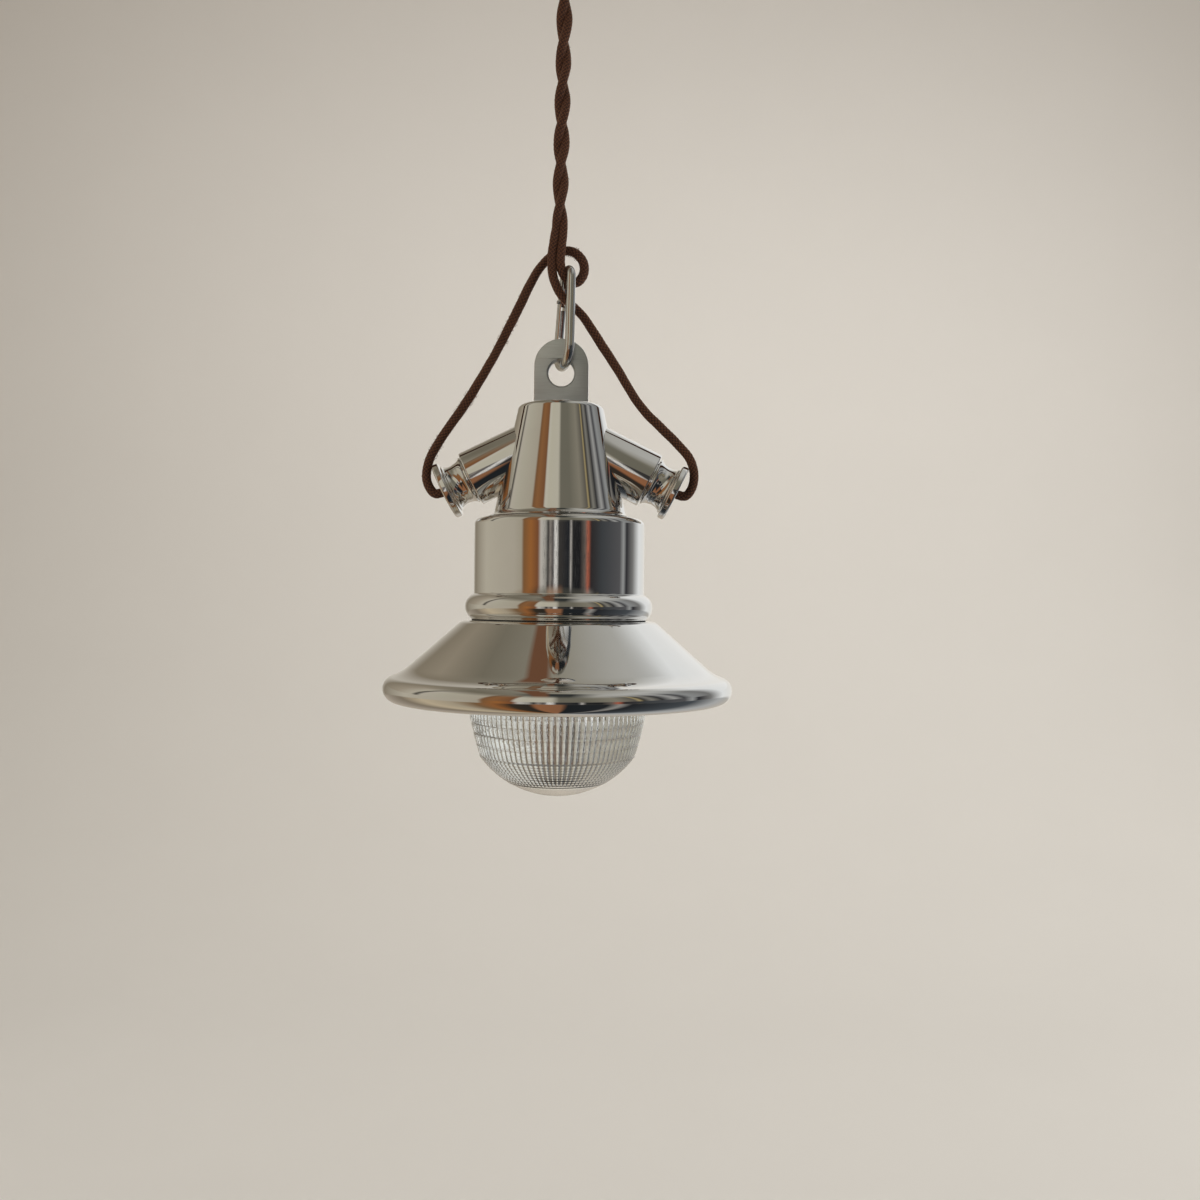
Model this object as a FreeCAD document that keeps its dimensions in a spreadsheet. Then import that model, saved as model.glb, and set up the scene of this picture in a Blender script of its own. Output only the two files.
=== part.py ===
import FreeCAD, Part
import Sketcher
import math
import os
import re

# Hanging lantern: an industrial pendant lamp on a twisted two-core flex.
# Millimetres. Heights are given above the lowest point of the glass, and every sub-part's Placement then
# lowers it by "drop", so that the ceiling face is the origin and everything hangs below it, +Z up.
# X runs through the two side cable entries, and the flat faces of the hanging lug look along Y.

SIZES = {
    # ceiling fitting
    "drop": 415, "cup_radius": 40, "cup_height": 27, "cup_wall": 1.2, "cup_corner": 8,
    "bracket_length": 70, "bracket_width": 18, "bracket_thick": 2, "bracket_tab": 16,
    "ceiling_hole_radius": 2.1, "ceiling_hole_spacing": 51,
    "side_screw_radius": 1.9, "side_screw_length": 5.4, "side_screw_head": 3.4, "side_screw_head_height": 2,
    "side_screw_dome": 1.2, "side_screw_drop": 11,
    "grip_radius": 7, "grip_tip_radius": 5.6, "grip_length": 12, "grip_shank_radius": 4.9,
    "grip_bore": 3.7, "grip_mouth_radius": 4.6, "grip_taper": 5, "grip_collar_radius": 8.6,
    "grip_collar_height": 2, "grip_collar_slope": 0.4, "grip_shank_length": 10, "grip_mouth_depth": 1.2,
    "grip_nut_flats": 14, "grip_nut_height": 3,
    "terminal_length": 22, "terminal_width": 12, "terminal_height": 11, "terminal_wire_hole": 1.9,
    "terminal_wire_depth": 6, "terminal_screw_radius": 1.6, "terminal_screw_length": 3.4,
    "terminal_screw_depth": 4, "terminal_screw_up": 3.4,
    # flex
    "pair_radius": 3.6, "strand_radius": 2.1, "lead_radius": 1.8, "tail_radius": 1.2,
    # snap hook, in its own plane: a pear of round wire, wider at the foot
    "hook_wire": 2.15, "hook_foot_radius": 8.5, "hook_crown_radius": 5.5, "hook_low": 198.35,
    "hook_leg": 30.9, "hook_offset": 0.6, "hook_turn": 110, "hook_lean": 2.5,
    "hook_stub": 0.3, "gate_foot": 1.6, "gate_length": 19.4, "gate_fork": 1.9, "gate_tongue": 1.5,
    "gate_tongue_width": 2.6, "gate_hinge_up": 3.1, "gate_nose_gap": 1.2, "gate_latch_gap": 0.95,
    "gate_pin_radius": 0.8, "gate_pin_gap": 0.05, "latch_pin_proud": 0.3,
    # hanging lug
    "lug_width": 25, "lug_thick": 4, "lug_base": 180, "lug_height": 31, "lug_hole_radius": 6,
    "lug_hole_height": 195.1, "lug_hole_chamfer": 0.8, "lug_shank_radius": 4.9, "lug_shank_length": 20,
    "lug_shank_gap": 0.15,
    "lug_nut_flats": 17, "lug_nut_height": 8, "lug_washer_radius": 10, "lug_washer_thick": 1.6,
    # cone
    "cone_base": 128, "cone_foot_radius": 33, "cone_foot_fillet": 2.9, "cone_low_radius": 30.2,
    "cone_low": 131.4, "cone_top_radius": 20, "cone_shoulder": 177.6, "cone_top": 180,
    "cone_round": 2.8, "cone_wall": 2.6, "cone_flange_radius": 21.5, "cone_flange_thick": 3.6,
    "cone_screw_circle": 25, "cone_screw_radius": 1.9, "cone_screw_head": 3.4, "cone_screw_head_height": 2.2,
    "cone_screw_slot_width": 0.8, "cone_screw_slot_depth": 0.9, "cone_gasket_thick": 0.5, "cone_roof": 3.6,
    # side cable entries, on an axis that falls outwards
    "entry_tilt": 26.6, "entry_x": 41.5, "entry_height": 145.8, "entry_radius": 13, "entry_bore": 10,
    "entry_reach": 30, "spigot_radius": 9.93, "spigot_length": 8, "gland_root": 11.3,
    "gland_waist": 9.7, "gland_neck": 11, "gland_flange": 13.4, "gland_length": 13.7,
    "gland_flange_thick": 3.4, "gland_bore": 4, "gland_mouth_round": 1.8, "gland_edge_round": 1,
    "gland_face_gap": 0.3, "gland_root_height": 1.2, "gland_waist_height": 4.2,
    "gland_lower_arc": 4.2, "gland_upper_arc": 5.5, "gland_neck_drop": 0.6, "gland_washer_thick": 1.4,
    "gland_washer_bore": 2.2, "seal_length": 8, "seal_bore": 1.86, "seal_taper": 1.1,
    # collar housing
    "collar_radius": 39.3, "collar_wall": 2.5, "collar_top": 127.5, "collar_round": 3,
    "collar_base": 81.2, "bead_foot": 40.6, "bead_radius": 43.3, "bead_height": 86.9,
    "bead_top": 92.5, "bead_top_radius": 39.9, "bead_lower_arc": 7.37, "bead_upper_arc": 6.31,
    "collar_flange_radius": 33, "collar_flange_thick": 3,
    # lampholder
    "strap_width": 14, "strap_thick": 1.5, "strap_ear": 29, "strap_side": 20.5,
    "holder_top": 108, "holder_base": 72, "holder_radius": 21, "holder_skirt_radius": 18.5,
    "holder_mouth_radius": 17, "holder_cavity": 14.2, "holder_floor": 99.5, "shell_bore": 13.28,
    "shell_inset": 2,
    "holder_round": 1, "holder_mouth_round": 2, "holder_shoulder": 11.5, "holder_skirt_top": 14,
    "holder_screw_offset": 17, "holder_screw_radius": 1.45, "holder_screw_length": 8,
    "holder_screw_head": 1.9, "holder_screw_head_height": 1.8, "contact_radius": 5, "contact_stem": 1.6,
    "contact_low": 97.1, "contact_thick": 0.8, "contact_dip": 0.6,
    # shade of spun sheet with a rolled rim
    "shade_top": 80.7, "shade_wall": 1.2, "shade_throat": 36.5, "shade_shoulder_radius": 42.1,
    "shade_shoulder_arc": 6, "flare_tilt": 45.8, "flare_end_radius": 58.6, "flare_end": 66.35,
    "flare_arc": 57.9, "rim_radius": 74.3, "rim_height": 48.8, "rim_roll": 5.7, "rim_join": 24,
    "rim_tuck": 25,
    # gallery, lens ring and glass
    "gallery_bore": 32, "gallery_radius": 44.4, "gallery_skirt": 40.8, "gallery_flange_thick": 2.5,
    "gallery_chamfer": 2.4, "gallery_end": 64, "gallery_screw_circle": 34.6, "gallery_screw_radius": 1.2,
    "gallery_screw_length": 6.2, "gallery_screw_head": 2.2, "gallery_screw_head_height": 1.8,
    "lens_gasket_thick": 1.5, "ring_radius": 47.6, "ring_bore": 44.48, "ring_lip": 41.7,
    "ring_top": 71, "ring_base": 56.8, "ring_lip_thick": 2.4, "ring_round": 1.5,
    "glass_flange": 43.8, "glass_flange_thick": 3, "glass_wall": 3, "glass_top_radius": 41,
    "glass_waist_radius": 40.5, "glass_waist": 36.3, "glass_corner_radius": 36.1, "glass_corner": 18.9,
    "glass_side_arc": 90, "glass_cap_arc": 43.9,
    # bulb
    "bulb_radius": 22.5, "bulb_centre": 46, "bulb_neck_radius": 11.6, "bulb_wall": 0.8,
    "cap_radius": 13.2, "cap_base": 73, "cap_top": 94.5, "cap_wall": 0.4,
    "cap_crown": 3, "cap_narrowing": 4, "insulator_rise": 1.4, "insulator_sink": 2, "tip_radius": 4.6,
    "tip_height": 1.1, "stem_radius": 1.6, "stem_foot": 6, "bulb_lap": 4, "filament_radius": 0.7,
    "filament_length": 26, "filament_circle": 5,
    # fits
    "gasket_gap": 0.05, "free_fit": 0.2, "loose_fit": 0.3, "close_fit": 0.1,
}

doc = FreeCAD.newDocument("HangingLantern")
sheet = doc.addObject("Spreadsheet::Sheet", "Size")
for row, (alias, size) in enumerate(SIZES.items(), 1):
    sheet.set("A%d" % row, alias)
    sheet.set("B%d" % row, str(size))
    sheet.setAlias("B%d" % row, alias)
doc.recompute()

subparts = []


def bound(text):
    """The expression text with each driving dimension read from the sheet."""
    return re.sub(r"[a-z][a-z_]+", lambda word: ("Size." if word[0] in SIZES else "") + word[0], text)


def value(text):
    """What an expression text comes to."""
    found = sheet.evalExpression(bound(str(text)))
    return float(getattr(found, "Value", found))


def tie(obj, prop, text):
    """Sets a property from an expression text and keeps it bound to the sheet."""
    obj.setExpression(prop, bound(str(text)))


def lantern_part(obj, name):
    """Gives a sub-part its label, and lowers it so that the ceiling face is at the origin."""
    obj.Label = name
    tie(obj, "Placement.Base.z", "-drop")
    subparts.append(obj)
    return obj


def placed_part(obj, name, placement):
    """Gives a sub-part its label and a placement of its own, given above the glass's lowest point."""
    obj.Label = name
    lower = FreeCAD.Placement(FreeCAD.Vector(0, 0, -value("drop")), FreeCAD.Rotation())
    obj.Placement = lower.multiply(placement)
    subparts.append(obj)
    return obj


def origin_plane(body, role):
    """One of a body's own origin planes."""
    return next(plane for plane in body.Origin.OriginFeatures if plane.Role == role)


def new_sketch(body, role, name, height=None):
    """A sketch on one of the body's origin planes, raised along the plane's normal by height."""
    sketch = body.newObject("Sketcher::SketchObject", name)
    sketch.AttachmentSupport = [(origin_plane(body, role), "")]
    sketch.MapMode = "FlatFace"
    if height is not None:
        sketch.AttachmentOffset = FreeCAD.Placement(FreeCAD.Vector(0, 0, value(height)), FreeCAD.Rotation())
        tie(sketch, "AttachmentOffset.Base.z", height)
    return sketch


def pin_point(sketch, geometry, end, across, up):
    """Holds one end of a sketch edge at the place that two expression texts give."""
    for text, kind, axis in ((across, "DistanceX", -2), (up, "DistanceY", -1)):
        if abs(value(text)) < 1e-6:
            sketch.addConstraint(Sketcher.Constraint("PointOnObject", geometry, end, axis))
            continue
        number = sketch.addConstraint(Sketcher.Constraint(kind, -1, 1, geometry, end, value(text)))
        tie(sketch, "Constraints[%d]" % number, text)


def draw(sketch, corners, closed=True):
    """Draws an outline through (across, up) corners. A third item is the radius of an arc to the next corner,
    positive where the arc turns left as the outline is followed, and negative where it turns right."""
    places = [FreeCAD.Vector(value(c[0]), value(c[1]), 0) for c in corners]
    count = len(corners) if closed else len(corners) - 1
    ends = []
    for i in range(count):
        here, there = places[i], places[(i + 1) % len(places)]
        if len(corners[i]) == 2:
            sketch.addGeometry(Part.LineSegment(here, there), False)
            ends.append((1, 2))
            continue
        radius = value(corners[i][2])
        chord = there - here
        left = FreeCAD.Vector(-chord.y, chord.x, 0).normalize()
        rise = math.sqrt(max(radius**2 - chord.Length**2 / 4, 0)) * (1 if radius > 0 else -1)
        centre = (here + there) * 0.5 + left * rise
        start, stop = (here, there) if radius > 0 else (there, here)
        angles = [math.atan2(p.y - centre.y, p.x - centre.x) for p in (start, stop)]
        circle = Part.Circle(centre, FreeCAD.Vector(0, 0, 1), abs(radius))
        sketch.addGeometry(Part.ArcOfCircle(circle, *angles), False)
        ends.append((1, 2) if radius > 0 else (2, 1))
    for i in range(count):
        pin_point(sketch, i, ends[i][0], corners[i][0], corners[i][1])
        if closed or i + 1 < count:
            after = (i + 1) % count
            sketch.addConstraint(Sketcher.Constraint("Coincident", i, ends[i][1], after, ends[after][0]))
        else:
            pin_point(sketch, i, ends[i][1], corners[i + 1][0], corners[i + 1][1])
        if len(corners[i]) == 3:
            text = corners[i][2].lstrip("-")
            number = sketch.addConstraint(Sketcher.Constraint("Radius", i, value(text)))
            tie(sketch, "Constraints[%d]" % number, text)
    return sketch


def circle(sketch, across, up, radius):
    """A circle in a sketch, held by expression texts."""
    centre = FreeCAD.Vector(value(across), value(up), 0)
    number = sketch.addGeometry(Part.Circle(centre, FreeCAD.Vector(0, 0, 1), value(radius)), False)
    pin_point(sketch, number, 3, across, up)
    held = sketch.addConstraint(Sketcher.Constraint("Radius", number, value(radius)))
    tie(sketch, "Constraints[%d]" % held, radius)
    return sketch


def turned_body(name, corners):
    """A body turned about Z from an outline of (radius, height) corners, followed anticlockwise."""
    body = doc.addObject("PartDesign::Body", name)
    sketch = draw(new_sketch(body, "XZ_Plane", name + "_outline"), corners)
    turn = body.newObject("PartDesign::Revolution", name + "_turn")
    turn.Profile = sketch
    turn.ReferenceAxis = (sketch, ["V_Axis"])
    turn.Angle = 360
    doc.recompute()
    return body


def drill(body, hole_radius, top, depth, across="0", up="0", count=1):
    """Cuts a round hole down from the height top, and repeats it about Z."""
    before = body.Shape.Volume
    stem = "%s_hole%d" % (body.Name, len(body.Group))
    sketch = circle(new_sketch(body, "XY_Plane", stem + "_circle", top), across, up, hole_radius)
    pocket = body.newObject("PartDesign::Pocket", stem)
    pocket.Profile = sketch
    pocket.Length = value(depth)
    tie(pocket, "Length", depth)
    doc.recompute()
    if count > 1:
        pattern = body.newObject("PartDesign::PolarPattern", stem + "_pattern")
        pattern.Originals = [pocket]
        pattern.Axis = (sketch, ["N_Axis"])
        pattern.Angle = 360
        pattern.Occurrences = count
        body.Tip = pattern
        doc.recompute()
    if body.Shape.Volume > before - 0.5:
        raise ValueError("a hole in %s cuts nothing" % body.Name)
    return body


def padded_body(name, role, corners, length, holes=()):
    """A body padded evenly to both sides of one of its origin planes."""
    body = doc.addObject("PartDesign::Body", name)
    sketch = draw(new_sketch(body, role, name + "_outline"), corners)
    for across, up, radius in holes:
        circle(sketch, across, up, radius)
    pad = body.newObject("PartDesign::Pad", name + "_pad")
    pad.Profile = sketch
    pad.Length = value(length)
    tie(pad, "Length", length)
    pad.Midplane = True
    doc.recompute()
    return body


def cylinder(name, radius, height, base, across="0", along="0"):
    """A Part cylinder along Z whose foot is at (across, along, base)."""
    rod = doc.addObject("Part::Cylinder", name)
    for prop, text in (("Radius", radius), ("Height", height)):
        tie(rod, prop, text)
    for prop, text in (("x", across), ("y", along), ("z", base)):
        tie(rod, "Placement.Base." + prop, text)
    return rod


def box(name, length, width, height, across, along, base):
    """A Part box centred on (across, along), standing on base."""
    block = doc.addObject("Part::Box", name)
    for prop, text in (("Length", length), ("Width", width), ("Height", height)):
        tie(block, prop, text)
    tie(block, "Placement.Base.x", "%s - (%s)/2" % (across, length))
    tie(block, "Placement.Base.y", "%s - (%s)/2" % (along, width))
    tie(block, "Placement.Base.z", base)
    return block


def fused(name, pieces):
    """One solid from several overlapping ones."""
    joined = doc.addObject("Part::MultiFuse", name)
    joined.Shapes = pieces
    return joined


def gathered(name, pieces):
    """Several separate solids kept together as one sub-part."""
    group = doc.addObject("Part::Compound", name)
    group.Links = pieces
    return group


def cut(name, base, tool):
    """Base with tool taken out of it."""
    result = doc.addObject("Part::Cut", name)
    result.Base = base
    result.Tool = tool
    return result


def hexagon(name, flats, height, base):
    """A hexagonal prism along Z."""
    prism = doc.addObject("Part::Prism", name)
    prism.Polygon = 6
    tie(prism, "Circumradius", "(%s)/2/cos(30)" % flats)
    tie(prism, "Height", height)
    tie(prism, "Placement.Base.z", base)
    return prism


# ---------------------------------------------------------------- cords

def cord_path(points):
    """Straight runs joined by tangent arcs, each as large as its two runs allow. Also gives the radii."""
    places = [FreeCAD.Vector(*p) for p in points]
    edges = []
    radii = []
    last = places[0]
    for before, corner, after in zip(places, places[1:], places[2:]):
        arrive, leave = corner - before, after - corner
        turn = arrive.getAngle(leave)
        reach = 0.45 * min(arrive.Length, leave.Length)
        radii.append(reach / math.tan(turn / 2))
        start = corner - arrive.normalize() * reach
        stop = corner + leave.normalize() * reach
        inward = (leave - arrive).normalize()
        middle = corner + inward * (radii[-1] / math.cos(turn / 2) - radii[-1])
        edges.append(Part.LineSegment(last, start).toShape())
        edges.append(Part.Arc(start, middle, stop).toShape())
        last = stop
    edges.append(Part.LineSegment(last, places[-1]).toShape())
    return Part.Wire(edges), radii


def cord_solid(name, points, radius):
    """A round tube along a cord's route. Its volume is compared with section times length."""
    path, radii = cord_path(points)
    first = path.Edges[0]
    start = first.valueAt(first.FirstParameter)
    along = first.tangentAt(first.FirstParameter)
    ring = Part.Wire([Part.makeCircle(radius, start, along)])
    solid = path.makePipeShell([ring], True, False)
    wanted = math.pi * radius**2 * path.Length
    if abs(solid.Volume - wanted) > 0.02 * wanted:
        raise ValueError("%s: volume %.1f, section times length %.1f" % (name, solid.Volume, wanted))
    tightest = "tightest %.1f mm" % min(radii) if radii else "straight"
    print("%s: length %.1f mm, %s, radii %s" % (name, path.Length, tightest, [round(r, 1) for r in radii]))
    return solid


def cord(name, routes, radius):
    """A cord's sub-part: one plain tube for each route."""
    solids = [cord_solid(name, route, radius) for route in routes]
    tube = doc.addObject("Part::Feature", name)
    tube.Shape = solids[0] if len(solids) == 1 else Part.makeCompound(solids)
    return lantern_part(tube, name)


# ---------------------------------------------------------------- ceiling fitting

def ceiling_cup():
    """Spun cup whose rim meets the ceiling, with a centre hole for the cord grip."""
    foot = "drop - cup_height"
    body = turned_body("ceiling_cup", [
        ("grip_shank_radius + loose_fit", foot),
        ("cup_radius - cup_corner", foot, "cup_corner"),
        ("cup_radius", foot + " + cup_corner"),
        ("cup_radius", "drop"),
        ("cup_radius - cup_wall", "drop"),
        ("cup_radius - cup_wall", foot + " + cup_corner", "-(cup_corner - cup_wall)"),
        ("cup_radius - cup_corner", foot + " + cup_wall"),
        ("grip_shank_radius + loose_fit", foot + " + cup_wall"),
    ])
    before = body.Shape.Volume
    sketch = new_sketch(body, "YZ_Plane", "ceiling_cup_side_circles")
    circle(sketch, "0", "drop - side_screw_drop", "side_screw_radius + free_fit")
    pocket = body.newObject("PartDesign::Pocket", "ceiling_cup_side_holes")
    pocket.Profile = sketch
    pocket.Type = "ThroughAll"
    pocket.Midplane = True
    doc.recompute()
    if body.Shape.Volume > before - 5:
        raise ValueError("the cup's side holes cut nothing")
    return lantern_part(body, "ceiling_cup")


def ceiling_bracket():
    """Strap with two downturned tabs that the cup is screwed to."""
    half = "bracket_length/2"
    strap = padded_body("ceiling_bracket", "XZ_Plane", [
        ("-" + half, "drop - bracket_tab"),
        ("-%s + bracket_thick" % half, "drop - bracket_tab"),
        ("-%s + bracket_thick" % half, "drop - bracket_thick"),
        ("%s - bracket_thick" % half, "drop - bracket_thick"),
        ("%s - bracket_thick" % half, "drop - bracket_tab"),
        (half, "drop - bracket_tab"),
        (half, "drop"),
        ("-" + half, "drop"),
    ], "bracket_width")
    for side in ("-", ""):
        drill(strap, "ceiling_hole_radius", "drop", "bracket_thick", side + "ceiling_hole_spacing/2")
    return lantern_part(strap, "ceiling_bracket")


def cup_side_screws():
    """Two pan-head screws that hold the cup to the bracket's tabs."""
    screws = []
    for side in (-1, 1):
        screw = turned_body("cup_screw_%s" % ("left" if side < 0 else "right"), [
            ("0", "-side_screw_length"),
            ("side_screw_radius", "-side_screw_length"),
            ("side_screw_radius", "0"),
            ("side_screw_head", "0"),
            ("side_screw_head", "side_screw_head_height - side_screw_dome", "side_screw_dome"),
            ("side_screw_head - side_screw_dome", "side_screw_head_height"),
            ("0", "side_screw_head_height"),
        ])
        place = FreeCAD.Vector(side * value("cup_radius"), 0, value("drop - side_screw_drop"))
        screw.Placement = FreeCAD.Placement(place, FreeCAD.Rotation(FreeCAD.Vector(0, 1, 0), side * 90))
        screws.append(screw)
    return lantern_part(gathered("cup_side_screws_group", screws), "cup_side_screws")


def cord_grip():
    """Tapered grip that clamps the flex under the cup, and the nut that holds it from inside."""
    foot = "drop - cup_height"
    body = turned_body("cord_grip_body", [
        ("grip_mouth_radius", foot + " - grip_length"),
        ("grip_tip_radius", foot + " - grip_length"),
        ("grip_radius", foot + " - grip_length + grip_taper"),
        ("grip_radius", foot + " - grip_collar_height - grip_collar_slope"),
        ("grip_collar_radius", foot + " - grip_collar_height"),
        ("grip_collar_radius", foot),
        ("grip_shank_radius", foot),
        ("grip_shank_radius", foot + " + grip_shank_length"),
        ("grip_bore", foot + " + grip_shank_length"),
        ("grip_bore", foot + " - grip_length + grip_mouth_depth"),
    ])
    lantern_part(body, "cord_grip_body")
    seat = foot + " + cup_wall"
    prism = hexagon("grip_nut_prism", "grip_nut_flats", "grip_nut_height", seat)
    bore = cylinder("grip_nut_bore", "grip_shank_radius", "grip_nut_height", seat)
    lantern_part(cut("grip_nut_cut", prism, bore), "cord_grip_nut")


def terminal_block():
    """Two-way block under the bracket, with its wire holes and clamp screws."""
    base = "drop - bracket_thick - terminal_height"
    block = box("terminal_solid", "terminal_length", "terminal_width", "terminal_height", "0", "0", base)
    holes = []
    screws = []
    for side, sign in (("left", "-"), ("right", "")):
        across = sign + "terminal_length/4"
        holes.append(cylinder("terminal_wire_hole_" + side, "terminal_wire_hole", "terminal_wire_depth",
                              base, across))
        turn = FreeCAD.Rotation(FreeCAD.Vector(1, 0, 0), 90)
        inner = value("terminal_screw_depth - terminal_width/2")
        place = FreeCAD.Vector(value(across), inner, value(base + " + terminal_screw_up"))
        hole = doc.addObject("Part::Cylinder", "terminal_screw_hole_" + side)
        tie(hole, "Radius", "terminal_screw_radius")
        tie(hole, "Height", "terminal_screw_depth")
        hole.Placement = FreeCAD.Placement(place, turn)
        holes.append(hole)
        screw = doc.addObject("Part::Cylinder", "terminal_screw_" + side)
        tie(screw, "Radius", "terminal_screw_radius")
        tie(screw, "Height", "terminal_screw_length")
        screw.Placement = FreeCAD.Placement(place, turn)
        screws.append(screw)
    lantern_part(cut("terminal_cut", block, gathered("terminal_holes", holes)), "terminal_block")
    lantern_part(gathered("terminal_screws_group", screws), "terminal_screws")


# ---------------------------------------------------------------- flex

# The strands come out of the twist side by side. The left one goes down through the eye of the hook to the
# right entry. The right one goes through the eye, up round the outside and over the hook to the left entry.
TWIST = [(0.0, 0.0, 374.9), (-1.4, -1.5, 262.0)]
GLAND_TURN = [(61.4, 0.0, 154.5), (62.4, 0.0, 145.2), (59.4, 0.0, 139.3), (56.0, 0.0, 138.55),
              (49.55, 0.0, 141.77)]
STRAND_TO_LEFT = [
    (0.4, -1.5, 262.0), (-0.3, -2.2, 254.5), (-1.0, -3.2, 247.5), (-0.4, -2.8, 241.8), (2.6, -0.6, 238.0),
    (7.0, 1.0, 237.3), (10.2, 2.0, 241.8), (9.9, 2.2, 248.0), (5.6, 2.6, 252.6), (0.2, 2.9, 253.3),
    (-4.6, 2.4, 251.2), (-9.6, 1.6, 246.3), (-14.6, 0.8, 237.8), (-22.0, 0.3, 221.5),
    (-32.5, 0.1, 200.5), (-45.0, 0.0, 179.5), (-55.0, 0.0, 165.5),
] + [(-x, y, z) for x, y, z in GLAND_TURN]
STRAND_TO_RIGHT = [
    (-3.2, -1.5, 262.0), (-4.2, -2.2, 254.5), (-5.0, -2.8, 246.0), (-4.3, -3.0, 238.5), (-0.9, -2.7, 231.0),
    (4.6, -1.2, 226.7), (9.8, 0.0, 222.0), (15.5, 0.4, 213.4), (26.0, 0.3, 197.6), (36.8, 0.1, 179.6),
    (47.2, 0.0, 169.9), (56.0, 0.0, 161.4),
] + GLAND_TURN
INNER_LEAD = [(49.28, 0.0, 141.9), (20.0, 0.0, 156.57), (12.5, 4.5, 149.0), (10.0, 10.5, 131.0),
              (8.0, 12.5, 118.0), (7.6, 12.0, 108.3)]


def flex():
    """The twisted pair, and each strand from the twist to its gland."""
    radius = value("strand_radius")
    cord("flex_twisted", [TWIST], value("pair_radius"))
    cord("flex_strand_left", [STRAND_TO_LEFT], radius)
    cord("flex_strand_right", [STRAND_TO_RIGHT], radius)
    for side, sign in (("left", -1), ("right", 1)):
        cord("inner_lead_" + side, [[(sign * x, y, z) for x, y, z in INNER_LEAD]], value("lead_radius"))


def flex_tails():
    """Inside the cord grip the pair stays together. Above it each core goes to its own terminal."""
    foot = value("drop - cup_height")
    stub = cord_solid("flex_tails", [(0, 0, foot - 11.4), (0, 0, foot + 10)], value("pair_radius"))
    solids = [stub]
    top = value("drop - bracket_thick - terminal_height")
    for sign in (-1, 1):
        route = [(sign * 1.9, 0, foot + 10), (sign * 2.4, 0.6, foot + 11.6), (sign * 4.9, 0.5, foot + 13),
                 (sign * 5.5, 0, top + 1)]
        solids.append(cord_solid("flex_tails", route, value("tail_radius")))
    tails = doc.addObject("Part::Feature", "flex_tails")
    tails.Shape = Part.makeCompound(solids)
    lantern_part(tails, "flex_tails")


# ---------------------------------------------------------------- snap hook

def hook_placement():
    """The hook stands across the lug, a little turned and leaning, with its foot in the lug's hole."""
    lean = FreeCAD.Rotation(FreeCAD.Vector(0, 1, 0), value("hook_lean"))
    turn = FreeCAD.Rotation(FreeCAD.Vector(0, 0, 1), value("hook_turn"))
    return FreeCAD.Placement(FreeCAD.Vector(value("hook_offset"), 0, value("hook_low")), lean.multiply(turn))


def hook_tilt():
    """How far each straight leg leans in towards the crown, in degrees: both are tangent to both bends."""
    return math.degrees(math.asin(value("(hook_foot_radius - hook_crown_radius)/hook_leg")))


def hook_bend(radius, centre_height, side):
    """Where a straight leg meets a bend, in the hook's own plane. The side is 1 at the gate, -1 opposite."""
    tilt = math.radians(hook_tilt())
    return FreeCAD.Vector(side * radius * math.cos(tilt), 0, centre_height + radius * math.sin(tilt))


def leg_placement():
    """The frame of the gate's leg: origin at the leg's foot, Z up the leg, X away from the eye."""
    foot = value("hook_foot_radius")
    tilt = FreeCAD.Rotation(FreeCAD.Vector(0, 1, 0), -hook_tilt())
    return hook_placement().multiply(FreeCAD.Placement(hook_bend(foot, foot, 1), tilt))


def snap_hook():
    """Round wire bent to a pear, open along one leg where the gate closes it, with a tongue at each end."""
    wire = value("hook_wire")
    foot = value("hook_foot_radius")
    crown = value("hook_crown_radius")
    tilt = math.radians(hook_tilt())
    slope = FreeCAD.Vector(-math.sin(tilt), 0, math.cos(tilt))
    leg_foot = hook_bend(foot, foot, 1)
    gate_top = value("gate_foot + gate_length")
    nose = leg_foot + slope * (gate_top + value("gate_nose_gap"))
    crown_height = foot + value("hook_leg")
    crown_ends = [hook_bend(crown, crown_height, side) for side in (1, -1)]
    crown_top = FreeCAD.Vector(0, 0, crown_height + crown)
    far_foot = hook_bend(foot, foot, -1)
    edges = [
        Part.LineSegment(nose, crown_ends[0]).toShape(),
        Part.Arc(crown_ends[0], crown_top, crown_ends[1]).toShape(),
        Part.LineSegment(crown_ends[1], far_foot).toShape(),
        Part.Arc(far_foot, FreeCAD.Vector(0, 0, 0), leg_foot).toShape(),
        Part.LineSegment(leg_foot, leg_foot + slope * value("hook_stub")).toShape(),
    ]
    path = Part.Wire(edges)
    ring = Part.Wire([Part.makeCircle(wire, nose, slope)])
    solid = path.makePipeShell([ring], True, False)
    wanted = math.pi * wire**2 * path.Length
    if abs(solid.Volume - wanted) > 0.02 * wanted:
        raise ValueError("the hook's wire isn't whole")
    thick = value("gate_tongue")
    width = value("gate_tongue_width")
    hinge_up = value("gate_hinge_up")
    latch_up = gate_top + value("gate_latch_gap")
    leg_frame = hook_placement().inverse().multiply(leg_placement())
    for low, high in ((-width / 2, hinge_up + width / 2), (gate_top - width / 2, gate_top + width)):
        plate = Part.makeBox(width, thick, high - low, FreeCAD.Vector(-width / 2, -thick / 2, low))
        plate.Placement = leg_frame
        solid = solid.fuse(plate)
    pin = value("gate_pin_radius")
    for up, radius in ((hinge_up, pin + value("gate_pin_gap")), (latch_up, pin)):
        hole = Part.makeCylinder(radius, 4 * wire, FreeCAD.Vector(0, -2 * wire, up), FreeCAD.Vector(0, 1, 0))
        hole.Placement = leg_frame
        solid = solid.cut(hole)
    hook = doc.addObject("Part::Feature", "snap_hook")
    hook.Shape = solid
    return placed_part(hook, "snap_hook", hook_placement())


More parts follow.
